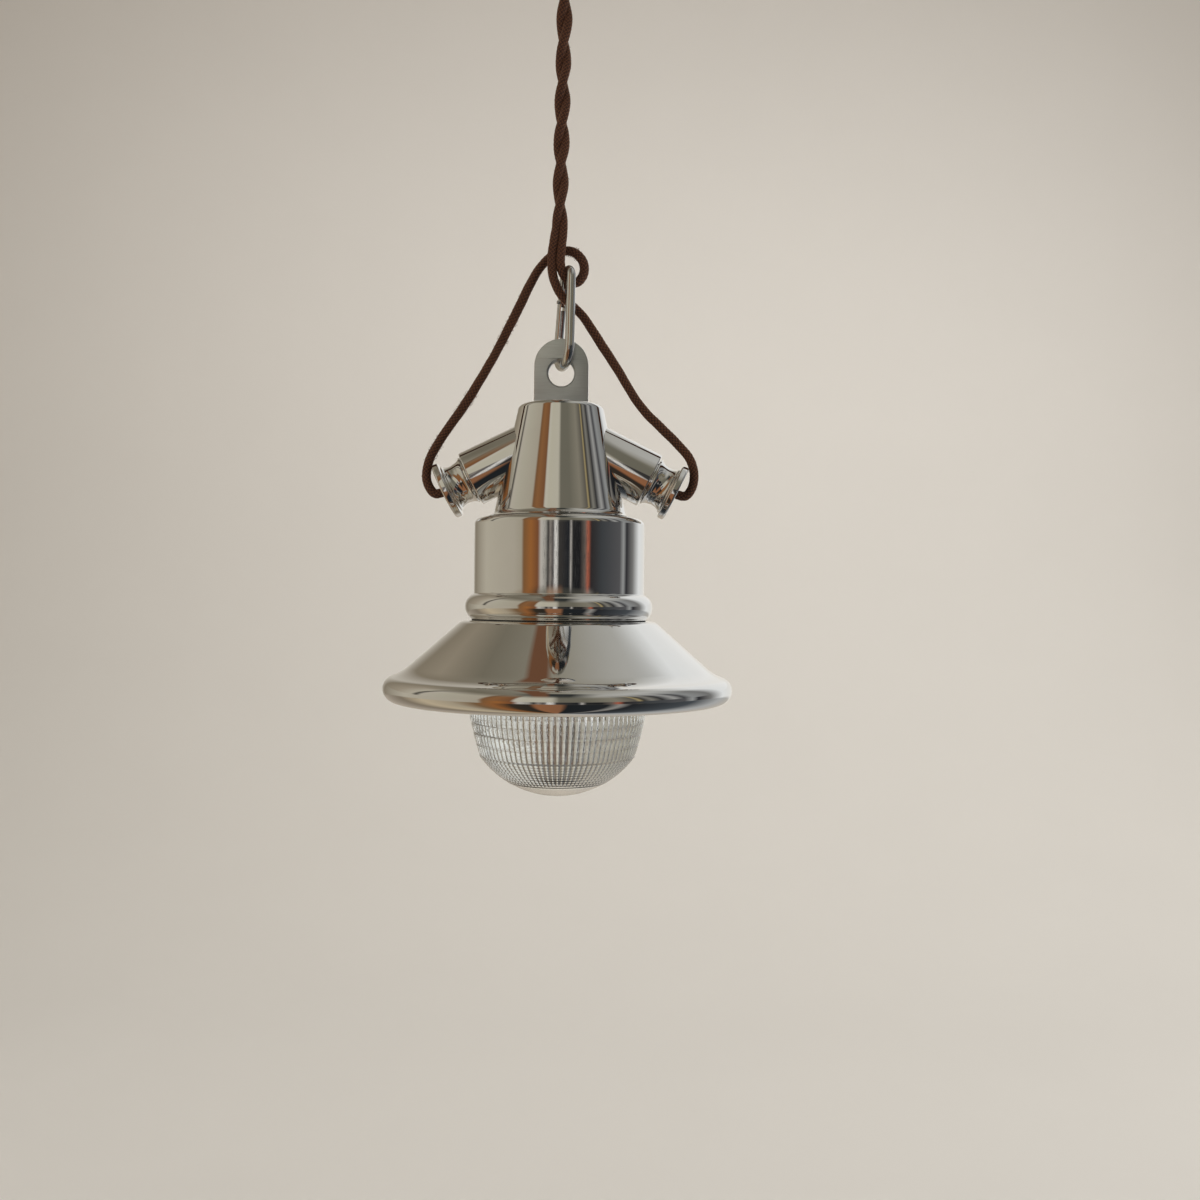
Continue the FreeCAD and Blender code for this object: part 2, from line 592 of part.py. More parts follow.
def hook_gate():
    """Straight gate, forked at both ends to pass the hook's tongues."""
    rod = cylinder("gate_rod", "hook_wire", "gate_length", "gate_foot")
    slot_sizes = ("3*hook_wire", "gate_fork", "2*hook_wire", "0", "0")
    low_slot = box("gate_low_slot", *slot_sizes, "gate_foot - loose_fit")
    top_slot = box("gate_top_slot", *slot_sizes, "gate_foot + gate_length - gate_tongue_width - loose_fit")
    pin_hole = doc.addObject("Part::Cylinder", "gate_pin_hole")
    tie(pin_hole, "Radius", "gate_pin_radius")
    tie(pin_hole, "Height", "4*hook_wire")
    start = FreeCAD.Vector(0, value("2*hook_wire"), value("gate_hinge_up"))
    pin_hole.Placement = FreeCAD.Placement(start, FreeCAD.Rotation(FreeCAD.Vector(1, 0, 0), 90))
    gate = cut("gate_cut", rod, fused("gate_slots", [low_slot, top_slot, pin_hole]))
    return placed_part(gate, "hook_gate", leg_placement())


def gate_pins():
    """The gate's hinge pin, which turns with the gate, and the latch pin across the hook's nose."""
    across = FreeCAD.Rotation(FreeCAD.Vector(1, 0, 0), 90)
    for name, up, half in (("gate_hinge_pin", "gate_hinge_up", "hook_wire"),
                           ("gate_latch_pin", "gate_foot + gate_length + gate_latch_gap",
                            "hook_wire + latch_pin_proud")):
        pin = doc.addObject("Part::Cylinder", name + "_rod")
        tie(pin, "Radius", "gate_pin_radius")
        tie(pin, "Height", "2*(%s)" % half)
        local = FreeCAD.Placement(FreeCAD.Vector(0, value(half), value(up)), across)
        placed_part(pin, name, leg_placement().multiply(local))


# ---------------------------------------------------------------- lug and cone

def hanging_lug():
    """Flat plate with a round top and one hole, on a threaded shank that goes through the cone's top."""
    half = "lug_width/2"
    spring = "lug_base + lug_height - lug_width/2"
    top = "lug_base + lug_height"
    plate = padded_body("lug_plate", "XZ_Plane", [
        ("-" + half, "lug_base"),
        (half, "lug_base"),
        (half, spring, half),
        ("0", top, half),
        ("-" + half, spring),
    ], "lug_thick", holes=[("0", "lug_hole_height", "lug_hole_radius")])
    pad = plate.Tip
    hole_edges = [
        "Edge%d" % number for number, edge in enumerate(plate.Shape.Edges, 1)
        if isinstance(edge.Curve, Part.Circle) and abs(edge.Curve.Radius - value("lug_hole_radius")) < 0.01
    ]
    chamfer = plate.newObject("PartDesign::Chamfer", "lug_hole_chamfer")
    chamfer.Base = (pad, hole_edges)
    chamfer.Size = value("lug_hole_chamfer")
    tie(chamfer, "Size", "lug_hole_chamfer")
    plate.Tip = chamfer
    doc.recompute()
    shank = cylinder("lug_shank", "lug_shank_radius", "lug_shank_length + 1", "lug_base - lug_shank_length")
    return lantern_part(fused("hanging_lug_solid", [plate, shank]), "hanging_lug")


def lug_fixings():
    """Washer and nut that hold the lug from inside the cone."""
    under = "cone_top - cone_roof"
    washer = turned_body("lug_washer", [
        ("lug_shank_radius + lug_shank_gap", under + " - lug_washer_thick"),
        ("lug_washer_radius", under + " - lug_washer_thick"),
        ("lug_washer_radius", under),
        ("lug_shank_radius + lug_shank_gap", under),
    ])
    lantern_part(washer, "lug_washer")
    foot = under + " - lug_washer_thick - lug_nut_height"
    prism = hexagon("lug_nut_prism", "lug_nut_flats", "lug_nut_height", foot)
    bore = cylinder("lug_nut_bore", "lug_shank_radius", "lug_nut_height", foot)
    lantern_part(cut("lug_nut_cut", prism, bore), "lug_nut")


def entry_axis(side):
    """The frame of a side entry: origin at the centre of the tube's outer face, Z outwards along its axis."""
    place = FreeCAD.Vector(side * value("entry_x"), 0, value("entry_height"))
    turn = FreeCAD.Rotation(FreeCAD.Vector(0, 1, 0), side * (90 + value("entry_tilt")))
    return FreeCAD.Placement(place, turn)


def entry_rod(name, side, radius, reach):
    """A cylinder along a side entry's axis, from inside the cone out to the tube's face."""
    rod = doc.addObject("Part::Cylinder", name)
    tie(rod, "Radius", radius)
    tie(rod, "Height", reach)
    inward = FreeCAD.Placement(FreeCAD.Vector(0, 0, -value(reach)), FreeCAD.Rotation())
    rod.Placement = entry_axis(side).multiply(inward)
    return rod


CONE_OUTSIDE = [
    ("cone_foot_radius", "cone_base"),
    ("cone_foot_radius", "cone_base + 0.5", "-cone_foot_fillet"),
    ("cone_low_radius", "cone_low"),
    ("cone_top_radius", "cone_shoulder", "cone_round"),
    ("cone_top_radius - cone_round + 0.2", "cone_top"),
]


def entry_cone():
    """Hollow cone with a foot flange, a hole for the lug's shank and an opening behind each side tube."""
    body = turned_body("cone_shell", [
        ("cone_flange_radius", "cone_base"),
    ] + CONE_OUTSIDE + [
        ("lug_shank_radius + lug_shank_gap", "cone_top"),
        ("lug_shank_radius + lug_shank_gap", "cone_top - cone_roof"),
        ("cone_top_radius - cone_wall - 0.8", "cone_top - cone_roof"),
        ("cone_low_radius - cone_wall", "cone_base + cone_flange_thick"),
        ("cone_flange_radius", "cone_base + cone_flange_thick"),
    ])
    drill(body, "cone_screw_radius", "cone_base + cone_flange_thick - 0.4", "cone_flange_thick",
          "cone_screw_circle", "0", 4)
    holes = [entry_rod("cone_opening_" + side, sign, "entry_bore", "entry_reach + 4")
             for side, sign in (("left", -1), ("right", 1))]
    return lantern_part(cut("entry_cone_cut", body, fused("cone_openings", holes)), "entry_cone")


def entry_tubes():
    """Side tubes brazed to the cone, each cut to the cone's outside."""
    for side, sign in (("left", -1), ("right", 1)):
        plug = turned_body("cone_plug_" + side, [("0", "cone_base")] + CONE_OUTSIDE + [("0", "cone_top")])
        rod = entry_rod("entry_rod_" + side, sign, "entry_radius", "entry_reach")
        bore = entry_rod("entry_bore_" + side, sign, "entry_bore", "entry_reach")
        tube = cut("entry_tube_cut_" + side, rod, fused("entry_tube_tools_" + side, [plug, bore]))
        lantern_part(tube, "entry_tube_" + side)


def glands():
    """Each entry's turned nut, the washer behind it and the rubber seal that grips the strand."""
    flange = "gland_length - gland_flange_thick"
    for side, sign in (("left", -1), ("right", 1)):
        axis = entry_axis(sign)
        nut = turned_body("gland_nut_body_" + side, [
            ("gland_bore", "-spigot_length"),
            ("spigot_radius", "-spigot_length"),
            ("spigot_radius", "gland_face_gap"),
            ("gland_root", "gland_face_gap"),
            ("gland_root", "gland_root_height", "-gland_lower_arc"),
            ("gland_waist", "gland_waist_height", "-gland_upper_arc"),
            ("gland_neck", flange + " - gland_neck_drop"),
            ("gland_flange - gland_edge_round + free_fit", flange, "gland_edge_round"),
            ("gland_flange", flange + " + gland_edge_round"),
            ("gland_flange", "gland_length - gland_edge_round", "gland_edge_round"),
            ("gland_flange - gland_edge_round", "gland_length"),
            ("gland_bore + gland_mouth_round", "gland_length", "-gland_mouth_round"),
            ("gland_bore", "gland_length - gland_mouth_round"),
        ])
        placed_part(nut, "gland_nut_" + side, axis)
        behind = "-spigot_length - gland_face_gap"
        washer = turned_body("gland_washer_body_" + side, [
            ("gland_washer_bore", behind + " - gland_washer_thick"),
            ("entry_bore - free_fit", behind + " - gland_washer_thick"),
            ("entry_bore - free_fit", behind),
            ("gland_washer_bore", behind),
        ])
        placed_part(washer, "gland_washer_" + side, axis)
        high = behind + " - gland_washer_thick"
        seal = turned_body("gland_seal_body_" + side, [
            ("seal_bore", high + " - seal_length"),
            ("entry_bore - close_fit - seal_taper", high + " - seal_length"),
            ("entry_bore - close_fit", high + " - seal_length + seal_taper"),
            ("entry_bore - close_fit", high),
            ("seal_bore", high),
        ])
        placed_part(seal, "gland_seal_" + side, axis)


# ---------------------------------------------------------------- collar and lampholder

def collar_housing():
    """Straight collar with a bead at its foot and an inward flange at each end."""
    body = turned_body("collar_housing", [
        ("collar_flange_radius", "collar_base"),
        ("bead_foot", "collar_base", "bead_lower_arc"),
        ("bead_radius", "bead_height", "bead_upper_arc"),
        ("bead_top_radius", "bead_top"),
        ("collar_radius", "bead_top + 0.6"),
        ("collar_radius", "collar_top - collar_round", "collar_round"),
        ("collar_radius - collar_round", "collar_top"),
        ("cone_flange_radius - 0.5", "collar_top"),
        ("cone_flange_radius - 0.5", "collar_top - collar_wall"),
        ("collar_radius - collar_wall", "collar_top - collar_wall"),
        ("collar_radius - collar_wall", "collar_base + collar_flange_thick"),
        ("collar_flange_radius", "collar_base + collar_flange_thick"),
    ])
    drill(body, "cone_screw_radius + loose_fit", "collar_top", "collar_wall", "cone_screw_circle", "0", 4)
    drill(body, "gallery_screw_radius", "collar_base + collar_flange_thick", "collar_flange_thick",
          "0", "gallery_screw_circle", 4)
    return lantern_part(body, "collar_housing")


def cone_fixings():
    """Gasket between cone and collar, and the screws that clamp bracket, collar and cone together."""
    gasket = turned_body("cone_gasket", [
        ("cone_flange_radius", "collar_top"),
        ("cone_foot_radius - 0.5", "collar_top"),
        ("cone_foot_radius - 0.5", "collar_top + cone_gasket_thick"),
        ("cone_flange_radius", "collar_top + cone_gasket_thick"),
    ])
    drill(gasket, "cone_screw_radius + loose_fit", "collar_top + cone_gasket_thick", "cone_gasket_thick",
          "cone_screw_circle", "0", 4)
    lantern_part(gasket, "cone_gasket")
    screws = []
    for number in range(4):
        turn = math.radians(90 * number)
        seat = "collar_top - collar_wall" + (" - strap_thick" if number % 2 == 0 else "")
        across = "cone_screw_circle*%d" % round(math.cos(turn))
        along = "cone_screw_circle*%d" % round(math.sin(turn))
        shank = cylinder("cone_screw_shank%d" % number, "cone_screw_radius",
                         "cone_base + 3 - (%s)" % seat, seat, across, along)
        low = seat + " - cone_screw_head_height"
        head = cylinder("cone_screw_head%d" % number, "cone_screw_head", "cone_screw_head_height",
                        low, across, along)
        slot = box("cone_screw_slot%d" % number, "2*cone_screw_head + free_fit", "cone_screw_slot_width",
                   "cone_screw_slot_depth + close_fit", across, along, low + " - close_fit")
        screws.append(cut("cone_screw%d" % number, fused("cone_screw_body%d" % number, [shank, head]), slot))
    lantern_part(gathered("cone_screws_group", screws), "cone_screws")


def lampholder():
    """Strap, porcelain body, screwed shell, centre contact and screws of the lampholder."""
    ear = "collar_top - collar_wall"
    strap = padded_body("lampholder_bracket", "XZ_Plane", [
        ("-strap_ear", ear + " - strap_thick"),
        ("-strap_side", ear + " - strap_thick"),
        ("-strap_side", "holder_top"),
        ("strap_side", "holder_top"),
        ("strap_side", ear + " - strap_thick"),
        ("strap_ear", ear + " - strap_thick"),
        ("strap_ear", ear),
        ("strap_side - strap_thick", ear),
        ("strap_side - strap_thick", "holder_top + strap_thick"),
        ("strap_thick - strap_side", "holder_top + strap_thick"),
        ("strap_thick - strap_side", ear),
        ("-strap_ear", ear),
    ], "strap_width")
    for sign in ("-", ""):
        drill(strap, "cone_screw_radius + free_fit", ear, "strap_thick", sign + "cone_screw_circle")
        drill(strap, "holder_screw_radius + free_fit", "holder_top + strap_thick", "strap_thick",
              sign + "holder_screw_offset")
    lantern_part(strap, "lampholder_bracket")
    base = turned_body("lampholder_base", [
        ("holder_cavity", "holder_base"),
        ("holder_mouth_radius", "holder_base", "holder_mouth_round"),
        ("holder_skirt_radius", "holder_base + 0.9*holder_mouth_round"),
        ("holder_skirt_radius", "holder_top - holder_skirt_top"),
        ("holder_radius", "holder_top - holder_shoulder"),
        ("holder_radius", "holder_top - holder_round", "holder_round"),
        ("holder_radius - holder_round", "holder_top"),
        ("0", "holder_top"),
        ("0", "holder_floor"),
        ("holder_cavity", "holder_floor"),
    ])
    for sign in ("-", ""):
        drill(base, "holder_screw_radius", "holder_top", "holder_screw_length - 1",
              sign + "holder_screw_offset")
    lantern_part(base, "lampholder_base")
    lantern_part(turned_body("lampholder_shell", [
        ("shell_bore", "holder_base + shell_inset"),
        ("holder_cavity - close_fit", "holder_base + shell_inset"),
        ("holder_cavity - close_fit", "holder_floor - 2*shell_inset"),
        ("shell_bore", "holder_floor - 2*shell_inset"),
    ]), "lampholder_shell")
    lantern_part(turned_body("lampholder_contact", [
        ("0", "contact_low"),
        ("contact_radius", "contact_low + contact_dip"),
        ("contact_radius", "contact_low + contact_dip + contact_thick"),
        ("contact_stem", "contact_low + contact_dip + contact_thick"),
        ("contact_stem", "holder_floor"),
        ("0", "holder_floor"),
    ]), "lampholder_contact")
    screws = []
    for side, sign in (("left", "-"), ("right", "")):
        across = sign + "holder_screw_offset"
        seat = "holder_top + strap_thick"
        shank = cylinder("holder_screw_shank_" + side, "holder_screw_radius", "holder_screw_length",
                         seat + " - holder_screw_length", across)
        head = cylinder("holder_screw_head_" + side, "holder_screw_head", "holder_screw_head_height",
                        seat, across)
        screws.append(fused("holder_screw_" + side, [shank, head]))
    lantern_part(gathered("lampholder_screws_group", screws), "lampholder_screws")


# ---------------------------------------------------------------- shade, gallery, glass

def rim_point(angle, roll):
    """A point on the rim's roll, at an angle from straight up towards the outside."""
    return ("rim_radius + %s*sin(%s)" % (roll, angle), "rim_height + %s*cos(%s)" % (roll, angle))


def shade():
    """Spun shade: clamped flat top, rounded shoulder, straight flare that eases out into a rolled rim."""
    inner = "(rim_roll - shade_wall)"
    shoulder = ("shade_shoulder_radius + %s*sin(flare_tilt)",
                "shade_top - shade_shoulder_arc + %s*cos(flare_tilt)")
    thin = "(shade_shoulder_arc - shade_wall)"
    under_flare = ("flare_end_radius - shade_wall*sin(flare_tilt)", "flare_end - shade_wall*cos(flare_tilt)")
    body = turned_body("shade", [
        ("shade_throat", "shade_top - shade_wall"),
        ("shade_shoulder_radius", "shade_top - shade_wall", "-" + thin),
        (shoulder[0] % thin, shoulder[1] % thin),
        under_flare + ("flare_arc + shade_wall",),
        rim_point("rim_join", inner) + ("-" + inner,),
        rim_point("90", inner) + ("-" + inner,),
        rim_point("180", inner) + ("-" + inner,),
        rim_point("270", inner) + ("-" + inner,),
        rim_point("360 - rim_tuck", inner),
        rim_point("360 - rim_tuck", "rim_roll") + ("rim_roll",),
        rim_point("270", "rim_roll") + ("rim_roll",),
        rim_point("180", "rim_roll") + ("rim_roll",),
        rim_point("90", "rim_roll") + ("rim_roll",),
        rim_point("rim_join", "rim_roll") + ("-flare_arc",),
        ("flare_end_radius", "flare_end"),
        (shoulder[0] % "shade_shoulder_arc", shoulder[1] % "shade_shoulder_arc", "shade_shoulder_arc"),
        ("shade_shoulder_radius", "shade_top"),
        ("shade_throat", "shade_top"),
    ])
    lantern_part(body, "shade")
    lantern_part(turned_body("shade_gasket", [
        ("shade_throat + 2*free_fit", "shade_top"),
        ("bead_foot - 2*free_fit", "shade_top"),
        ("bead_foot - 2*free_fit", "collar_base"),
        ("shade_throat + 2*free_fit", "collar_base"),
    ]), "shade_gasket")


def gallery():
    """Cast ring that clamps the shade's top to the collar and has the outside thread for the lens ring."""
    top = "shade_top - shade_wall"
    body = turned_body("gallery_ring", [
        ("gallery_skirt", "gallery_end"),
        ("gallery_radius", "gallery_end"),
        ("gallery_radius", top + " - gallery_chamfer"),
        ("gallery_radius - gallery_chamfer", top),
        ("shade_throat - free_fit", top),
        ("shade_throat - free_fit", "collar_base"),
        ("gallery_bore", "collar_base"),
        ("gallery_bore", top + " - gallery_flange_thick"),
        ("gallery_skirt", top + " - gallery_flange_thick"),
    ])
    drill(body, "gallery_screw_radius + free_fit", "collar_base",
          "collar_base - (%s) + gallery_flange_thick" % top, "0", "gallery_screw_circle", 4)
    lantern_part(body, "gallery_ring")
    screws = []
    for number in range(4):
        turn = math.radians(90 * number)
        across = "gallery_screw_circle*%d" % round(math.cos(turn))
        along = "gallery_screw_circle*%d" % round(math.sin(turn))
        seat = top + " - gallery_flange_thick"
        shank = cylinder("gallery_screw_shank%d" % number, "gallery_screw_radius", "gallery_screw_length",
                         seat, across, along)
        head = cylinder("gallery_screw_head%d" % number, "gallery_screw_head", "gallery_screw_head_height",
                        seat + " - gallery_screw_head_height", across, along)
        screws.append(fused("gallery_screw%d" % number, [shank, head]))
    lantern_part(gathered("gallery_screws_group", screws), "gallery_screws")


def glass():
    """Pressed glass dome with a seating flange, its gasket, and the ring that holds it up."""
    top = "gallery_end - lens_gasket_thick"
    seat = top + " - glass_flange_thick"
    inner_arc = "(glass_cap_arc - glass_wall)"
    inner_corner = "(glass_corner_radius - 0.9*glass_wall)"
    lantern_part(turned_body("glass_lens", [
        ("0", "0", "glass_cap_arc"),
        ("glass_corner_radius", "glass_corner", "glass_side_arc"),
        ("glass_waist_radius", "glass_waist"),
        ("glass_top_radius", seat),
        ("glass_flange", seat),
        ("glass_flange", top),
        ("glass_top_radius - glass_wall", top),
        ("glass_waist_radius - glass_wall", "glass_waist", "-(glass_side_arc - glass_wall)"),
        (inner_corner, "glass_cap_arc - sqrt(%s^2 - %s^2)" % (inner_arc, inner_corner), "-" + inner_arc),
        ("0", "glass_wall"),
    ]), "glass_lens")
    lantern_part(turned_body("lens_gasket", [
        ("gallery_skirt + free_fit", top),
        ("glass_flange", top),
        ("glass_flange", "gallery_end - gasket_gap"),
        ("gallery_skirt + free_fit", "gallery_end - gasket_gap"),
    ]), "lens_gasket")
    lip = "ring_base + ring_lip_thick"
    lantern_part(turned_body("lens_ring", [
        ("ring_lip", "ring_base"),
        ("ring_radius - ring_round", "ring_base", "ring_round"),
        ("ring_radius", "ring_base + ring_round"),
        ("ring_radius", "ring_top"),
        ("ring_bore", "ring_top"),
        ("ring_bore", lip),
        ("ring_lip", lip),
    ]), "lens_ring")


# ---------------------------------------------------------------- bulb

def bulb():
    """Round bulb: thin envelope, screw cap, insulator, centre contact, glass stem and filaments."""
    reach = "sqrt(bulb_radius^2 - bulb_neck_radius^2)"
    thin = "(bulb_radius - bulb_wall)"
    thin_neck = "(bulb_neck_radius - bulb_wall)"
    thin_reach = "sqrt(%s^2 - %s^2)" % (thin, thin_neck)
    lantern_part(turned_body("bulb_glass", [
        ("0", "bulb_centre - bulb_radius", "bulb_radius"),
        ("bulb_radius", "bulb_centre", "bulb_radius"),
        ("bulb_neck_radius", "bulb_centre + " + reach),
        ("bulb_neck_radius", "cap_base + bulb_lap"),
        (thin_neck, "cap_base + bulb_lap"),
        (thin_neck, "bulb_centre + " + thin_reach, "-" + thin),
        (thin, "bulb_centre", "-" + thin),
        ("0", "bulb_centre - " + thin),
    ]), "bulb_glass")
    lantern_part(turned_body("bulb_cap", [
        ("cap_radius - cap_wall", "cap_base"),
        ("cap_radius", "cap_base"),
        ("cap_radius", "cap_top - cap_crown"),
        ("cap_radius - cap_narrowing", "cap_top"),
        ("cap_radius - cap_narrowing - cap_wall", "cap_top"),
        ("cap_radius - cap_wall", "cap_top - cap_crown - close_fit"),
    ]), "bulb_cap")
    lantern_part(turned_body("bulb_insulator", [
        ("0", "cap_top - insulator_sink"),
        ("cap_radius - cap_narrowing - cap_wall - close_fit", "cap_top - insulator_sink"),
        ("cap_radius - cap_narrowing - cap_wall - close_fit", "cap_top"),
        ("tip_radius + 3*free_fit", "cap_top + insulator_rise"),
        ("0", "cap_top + insulator_rise"),
    ]), "bulb_insulator")
    lantern_part(turned_body("bulb_contact", [
        ("0", "cap_top + insulator_rise"),
        ("tip_radius", "cap_top + insulator_rise"),
        ("0", "cap_top + insulator_rise + tip_height"),
    ]), "bulb_contact")
    lantern_part(turned_body("bulb_stem", [
        ("0", "bulb_centre + stem_foot"),
        ("stem_radius", "bulb_centre + stem_foot"),
        ("1.25*stem_radius", "cap_base - insulator_sink"),
        (thin_neck + " - close_fit", "cap_base + bulb_lap"),
        ("0", "cap_base + bulb_lap"),
    ]), "bulb_stem")
    threads = []
    for number in range(4):
        turn = math.radians(45 + 90 * number)
        across = "filament_circle*%.4f" % math.cos(turn)
        along = "filament_circle*%.4f" % math.sin(turn)
        threads.append(cylinder("bulb_filament%d" % number, "filament_radius", "filament_length",
                                "bulb_centre - 2*stem_foot", across, along))
    lantern_part(gathered("bulb_filaments_group", threads), "bulb_filaments")


# ---------------------------------------------------------------- build and write

ceiling_cup()
ceiling_bracket()
cup_side_screws()
cord_grip()
terminal_block()
flex_tails()
flex()
snap_hook()
hook_gate()
gate_pins()
hanging_lug()
lug_fixings()
entry_cone()
entry_tubes()
glands()
collar_housing()
cone_fixings()
lampholder()
shade()
gallery()
glass()
bulb()
doc.recompute()

for obj in doc.Objects:
    if "Invalid" in obj.State or "Error" in obj.State:
        raise ValueError("%s failed: %s" % (obj.Label, obj.State))
for part in subparts:
    if part.Shape.isNull() or not part.Shape.isValid():
        raise ValueError("%s has no valid shape" % part.Label)

os.makedirs("parts", exist_ok=True)
for part in subparts:
    part.Shape.exportStep("parts/%s.step" % part.Label)
print("%d sub-parts" % len(subparts))
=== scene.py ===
import math
import random

import bmesh
import bpy
import numpy as np
from mathutils import Matrix, Vector


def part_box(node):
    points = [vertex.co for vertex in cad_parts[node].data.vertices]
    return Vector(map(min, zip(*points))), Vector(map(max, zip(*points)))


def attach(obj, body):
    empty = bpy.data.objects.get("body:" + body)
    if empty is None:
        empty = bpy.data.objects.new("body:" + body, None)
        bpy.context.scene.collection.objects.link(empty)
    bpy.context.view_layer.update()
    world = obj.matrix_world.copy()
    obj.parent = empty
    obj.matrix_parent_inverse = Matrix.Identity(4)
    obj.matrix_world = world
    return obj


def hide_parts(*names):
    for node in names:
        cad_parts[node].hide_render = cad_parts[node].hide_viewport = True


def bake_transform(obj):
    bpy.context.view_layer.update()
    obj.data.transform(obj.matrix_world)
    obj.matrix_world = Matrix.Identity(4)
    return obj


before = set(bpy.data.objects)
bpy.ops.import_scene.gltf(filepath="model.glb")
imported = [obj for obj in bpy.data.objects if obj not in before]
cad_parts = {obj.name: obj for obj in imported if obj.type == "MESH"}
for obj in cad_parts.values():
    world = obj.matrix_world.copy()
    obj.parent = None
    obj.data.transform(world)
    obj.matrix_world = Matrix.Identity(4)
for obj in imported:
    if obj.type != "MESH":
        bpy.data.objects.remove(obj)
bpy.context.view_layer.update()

# Hanging lantern. Shapes are given in millimetres above the lowest point of the glass, about the lantern's
# own axis, and row() turns such a place into the row frame, in metres.

MM = 0.001
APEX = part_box("glass_lens")[0][2]
DROP = -APEX / MM


def row(place):
    """A place in the row frame, in metres, from millimetres above the glass's lowest point."""
    return (place[0] * MM, place[1] * MM, APEX + place[2] * MM)


# ---------------------------------------------------------------- mesh helpers

def finish_mesh(name, mesh, sharp=35):
    """An object for a mesh, shaded smooth but for its sharp edges."""
    mesh.validate()
    mesh.shade_smooth()
    mesh.set_sharp_from_angle(angle=math.radians(sharp))
    obj = bpy.data.objects.new(name, mesh)
    bpy.context.scene.collection.objects.link(obj)
    return obj


def outline(corners, step=5.0):
    """Points of a closed outline. A corner's third item is the radius of an arc to the next corner, positive
    where the arc turns left as the outline is followed, negative where it turns right."""
    points = []
    for here, there in zip(corners, corners[1:] + corners[:1]):
        points.append((here[0], here[1]))
        if len(here) == 2:
            continue
        radius = here[2]
        dx, dz = there[0] - here[0], there[1] - here[1]
        chord = math.hypot(dx, dz)
        rise = math.copysign(math.sqrt(max(radius**2 - chord**2 / 4, 0)), radius)
        cx = (here[0] + there[0]) / 2 - dz / chord * rise
        cz = (here[1] + there[1]) / 2 + dx / chord * rise
        start = math.atan2(here[1] - cz, here[0] - cx)
        turn = 2 * math.asin(min(chord / 2 / abs(radius), 1)) * (1 if radius > 0 else -1)
        count = max(2, int(math.degrees(abs(turn)) / step), int(chord / 6))
        for i in range(1, count):
            angle = start + turn * i / count
            points.append((cx + abs(radius) * math.cos(angle), cz + abs(radius) * math.sin(angle)))
    return points


def rounded(corners):
    """Points of a closed outline whose corners are rounded: each corner is (across, up, radius)."""
    step = 9.0
    points = []
    count = len(corners)
    for i, (x, z, radius) in enumerate(corners):
        here = Vector((x, z))
        before = Vector(corners[i - 1][:2]) - here
        after = Vector(corners[(i + 1) % count][:2]) - here
        if radius <= 0:
            points.append((x, z))
            continue
        half = before.angle(after) / 2
        reach = min(radius / math.tan(half), 0.48 * before.length, 0.48 * after.length)
        radius = reach * math.tan(half)
        start = here + before.normalized() * reach
        stop = here + after.normalized() * reach
        centre = here + (before.normalized() + after.normalized()).normalized() * (radius / math.sin(half))
        first, last = start - centre, stop - centre
        turn = math.atan2(first.x * last.y - first.y * last.x, first.dot(last))
        steps = max(2, int(math.degrees(abs(turn)) / step))
        for k in range(steps + 1):
            spot = centre + Matrix.Rotation(turn * k / steps, 2) @ first
            points.append((spot.x, spot.y))
    return points


def lathe(name, points, place=Matrix.Identity(4), segments=192):
    """A solid turned about Z from a closed outline of (radius, height) points in millimetres."""
    mesh = bmesh.new()
    rings = []
    for radius, height in points:
        if radius < 1e-6:
            rings.append([mesh.verts.new(place @ Vector((0, 0, height)))] * segments)
            continue
        ring = []
        for k in range(segments):
            angle = 2 * math.pi * k / segments
            spot = place @ Vector((radius * math.cos(angle), radius * math.sin(angle), height))
            ring.append(mesh.verts.new(spot))
        rings.append(ring)
    for low, high in zip(rings, rings[1:] + rings[:1]):
        if low[0] is low[1] and high[0] is high[1]:
            continue
        for k in range(segments):
            nxt = (k + 1) % segments
            corner = [low[k], low[nxt], high[nxt], high[k]]
            loop = [v for i, v in enumerate(corner) if v not in corner[:i]]
            mesh.faces.new(loop)
    return from_millimetres(name, mesh)


def from_millimetres(name, mesh, sharp=35):
    """Turns a bmesh in millimetres above the glass's lowest point into an object in the row frame."""
    for vert in mesh.verts:
        vert.co = Vector(row(vert.co))
    bmesh.ops.recalc_face_normals(mesh, faces=mesh.faces)
    data = bpy.data.meshes.new(name)
    mesh.to_mesh(data)
    mesh.free()
    return finish_mesh(name, data, sharp)


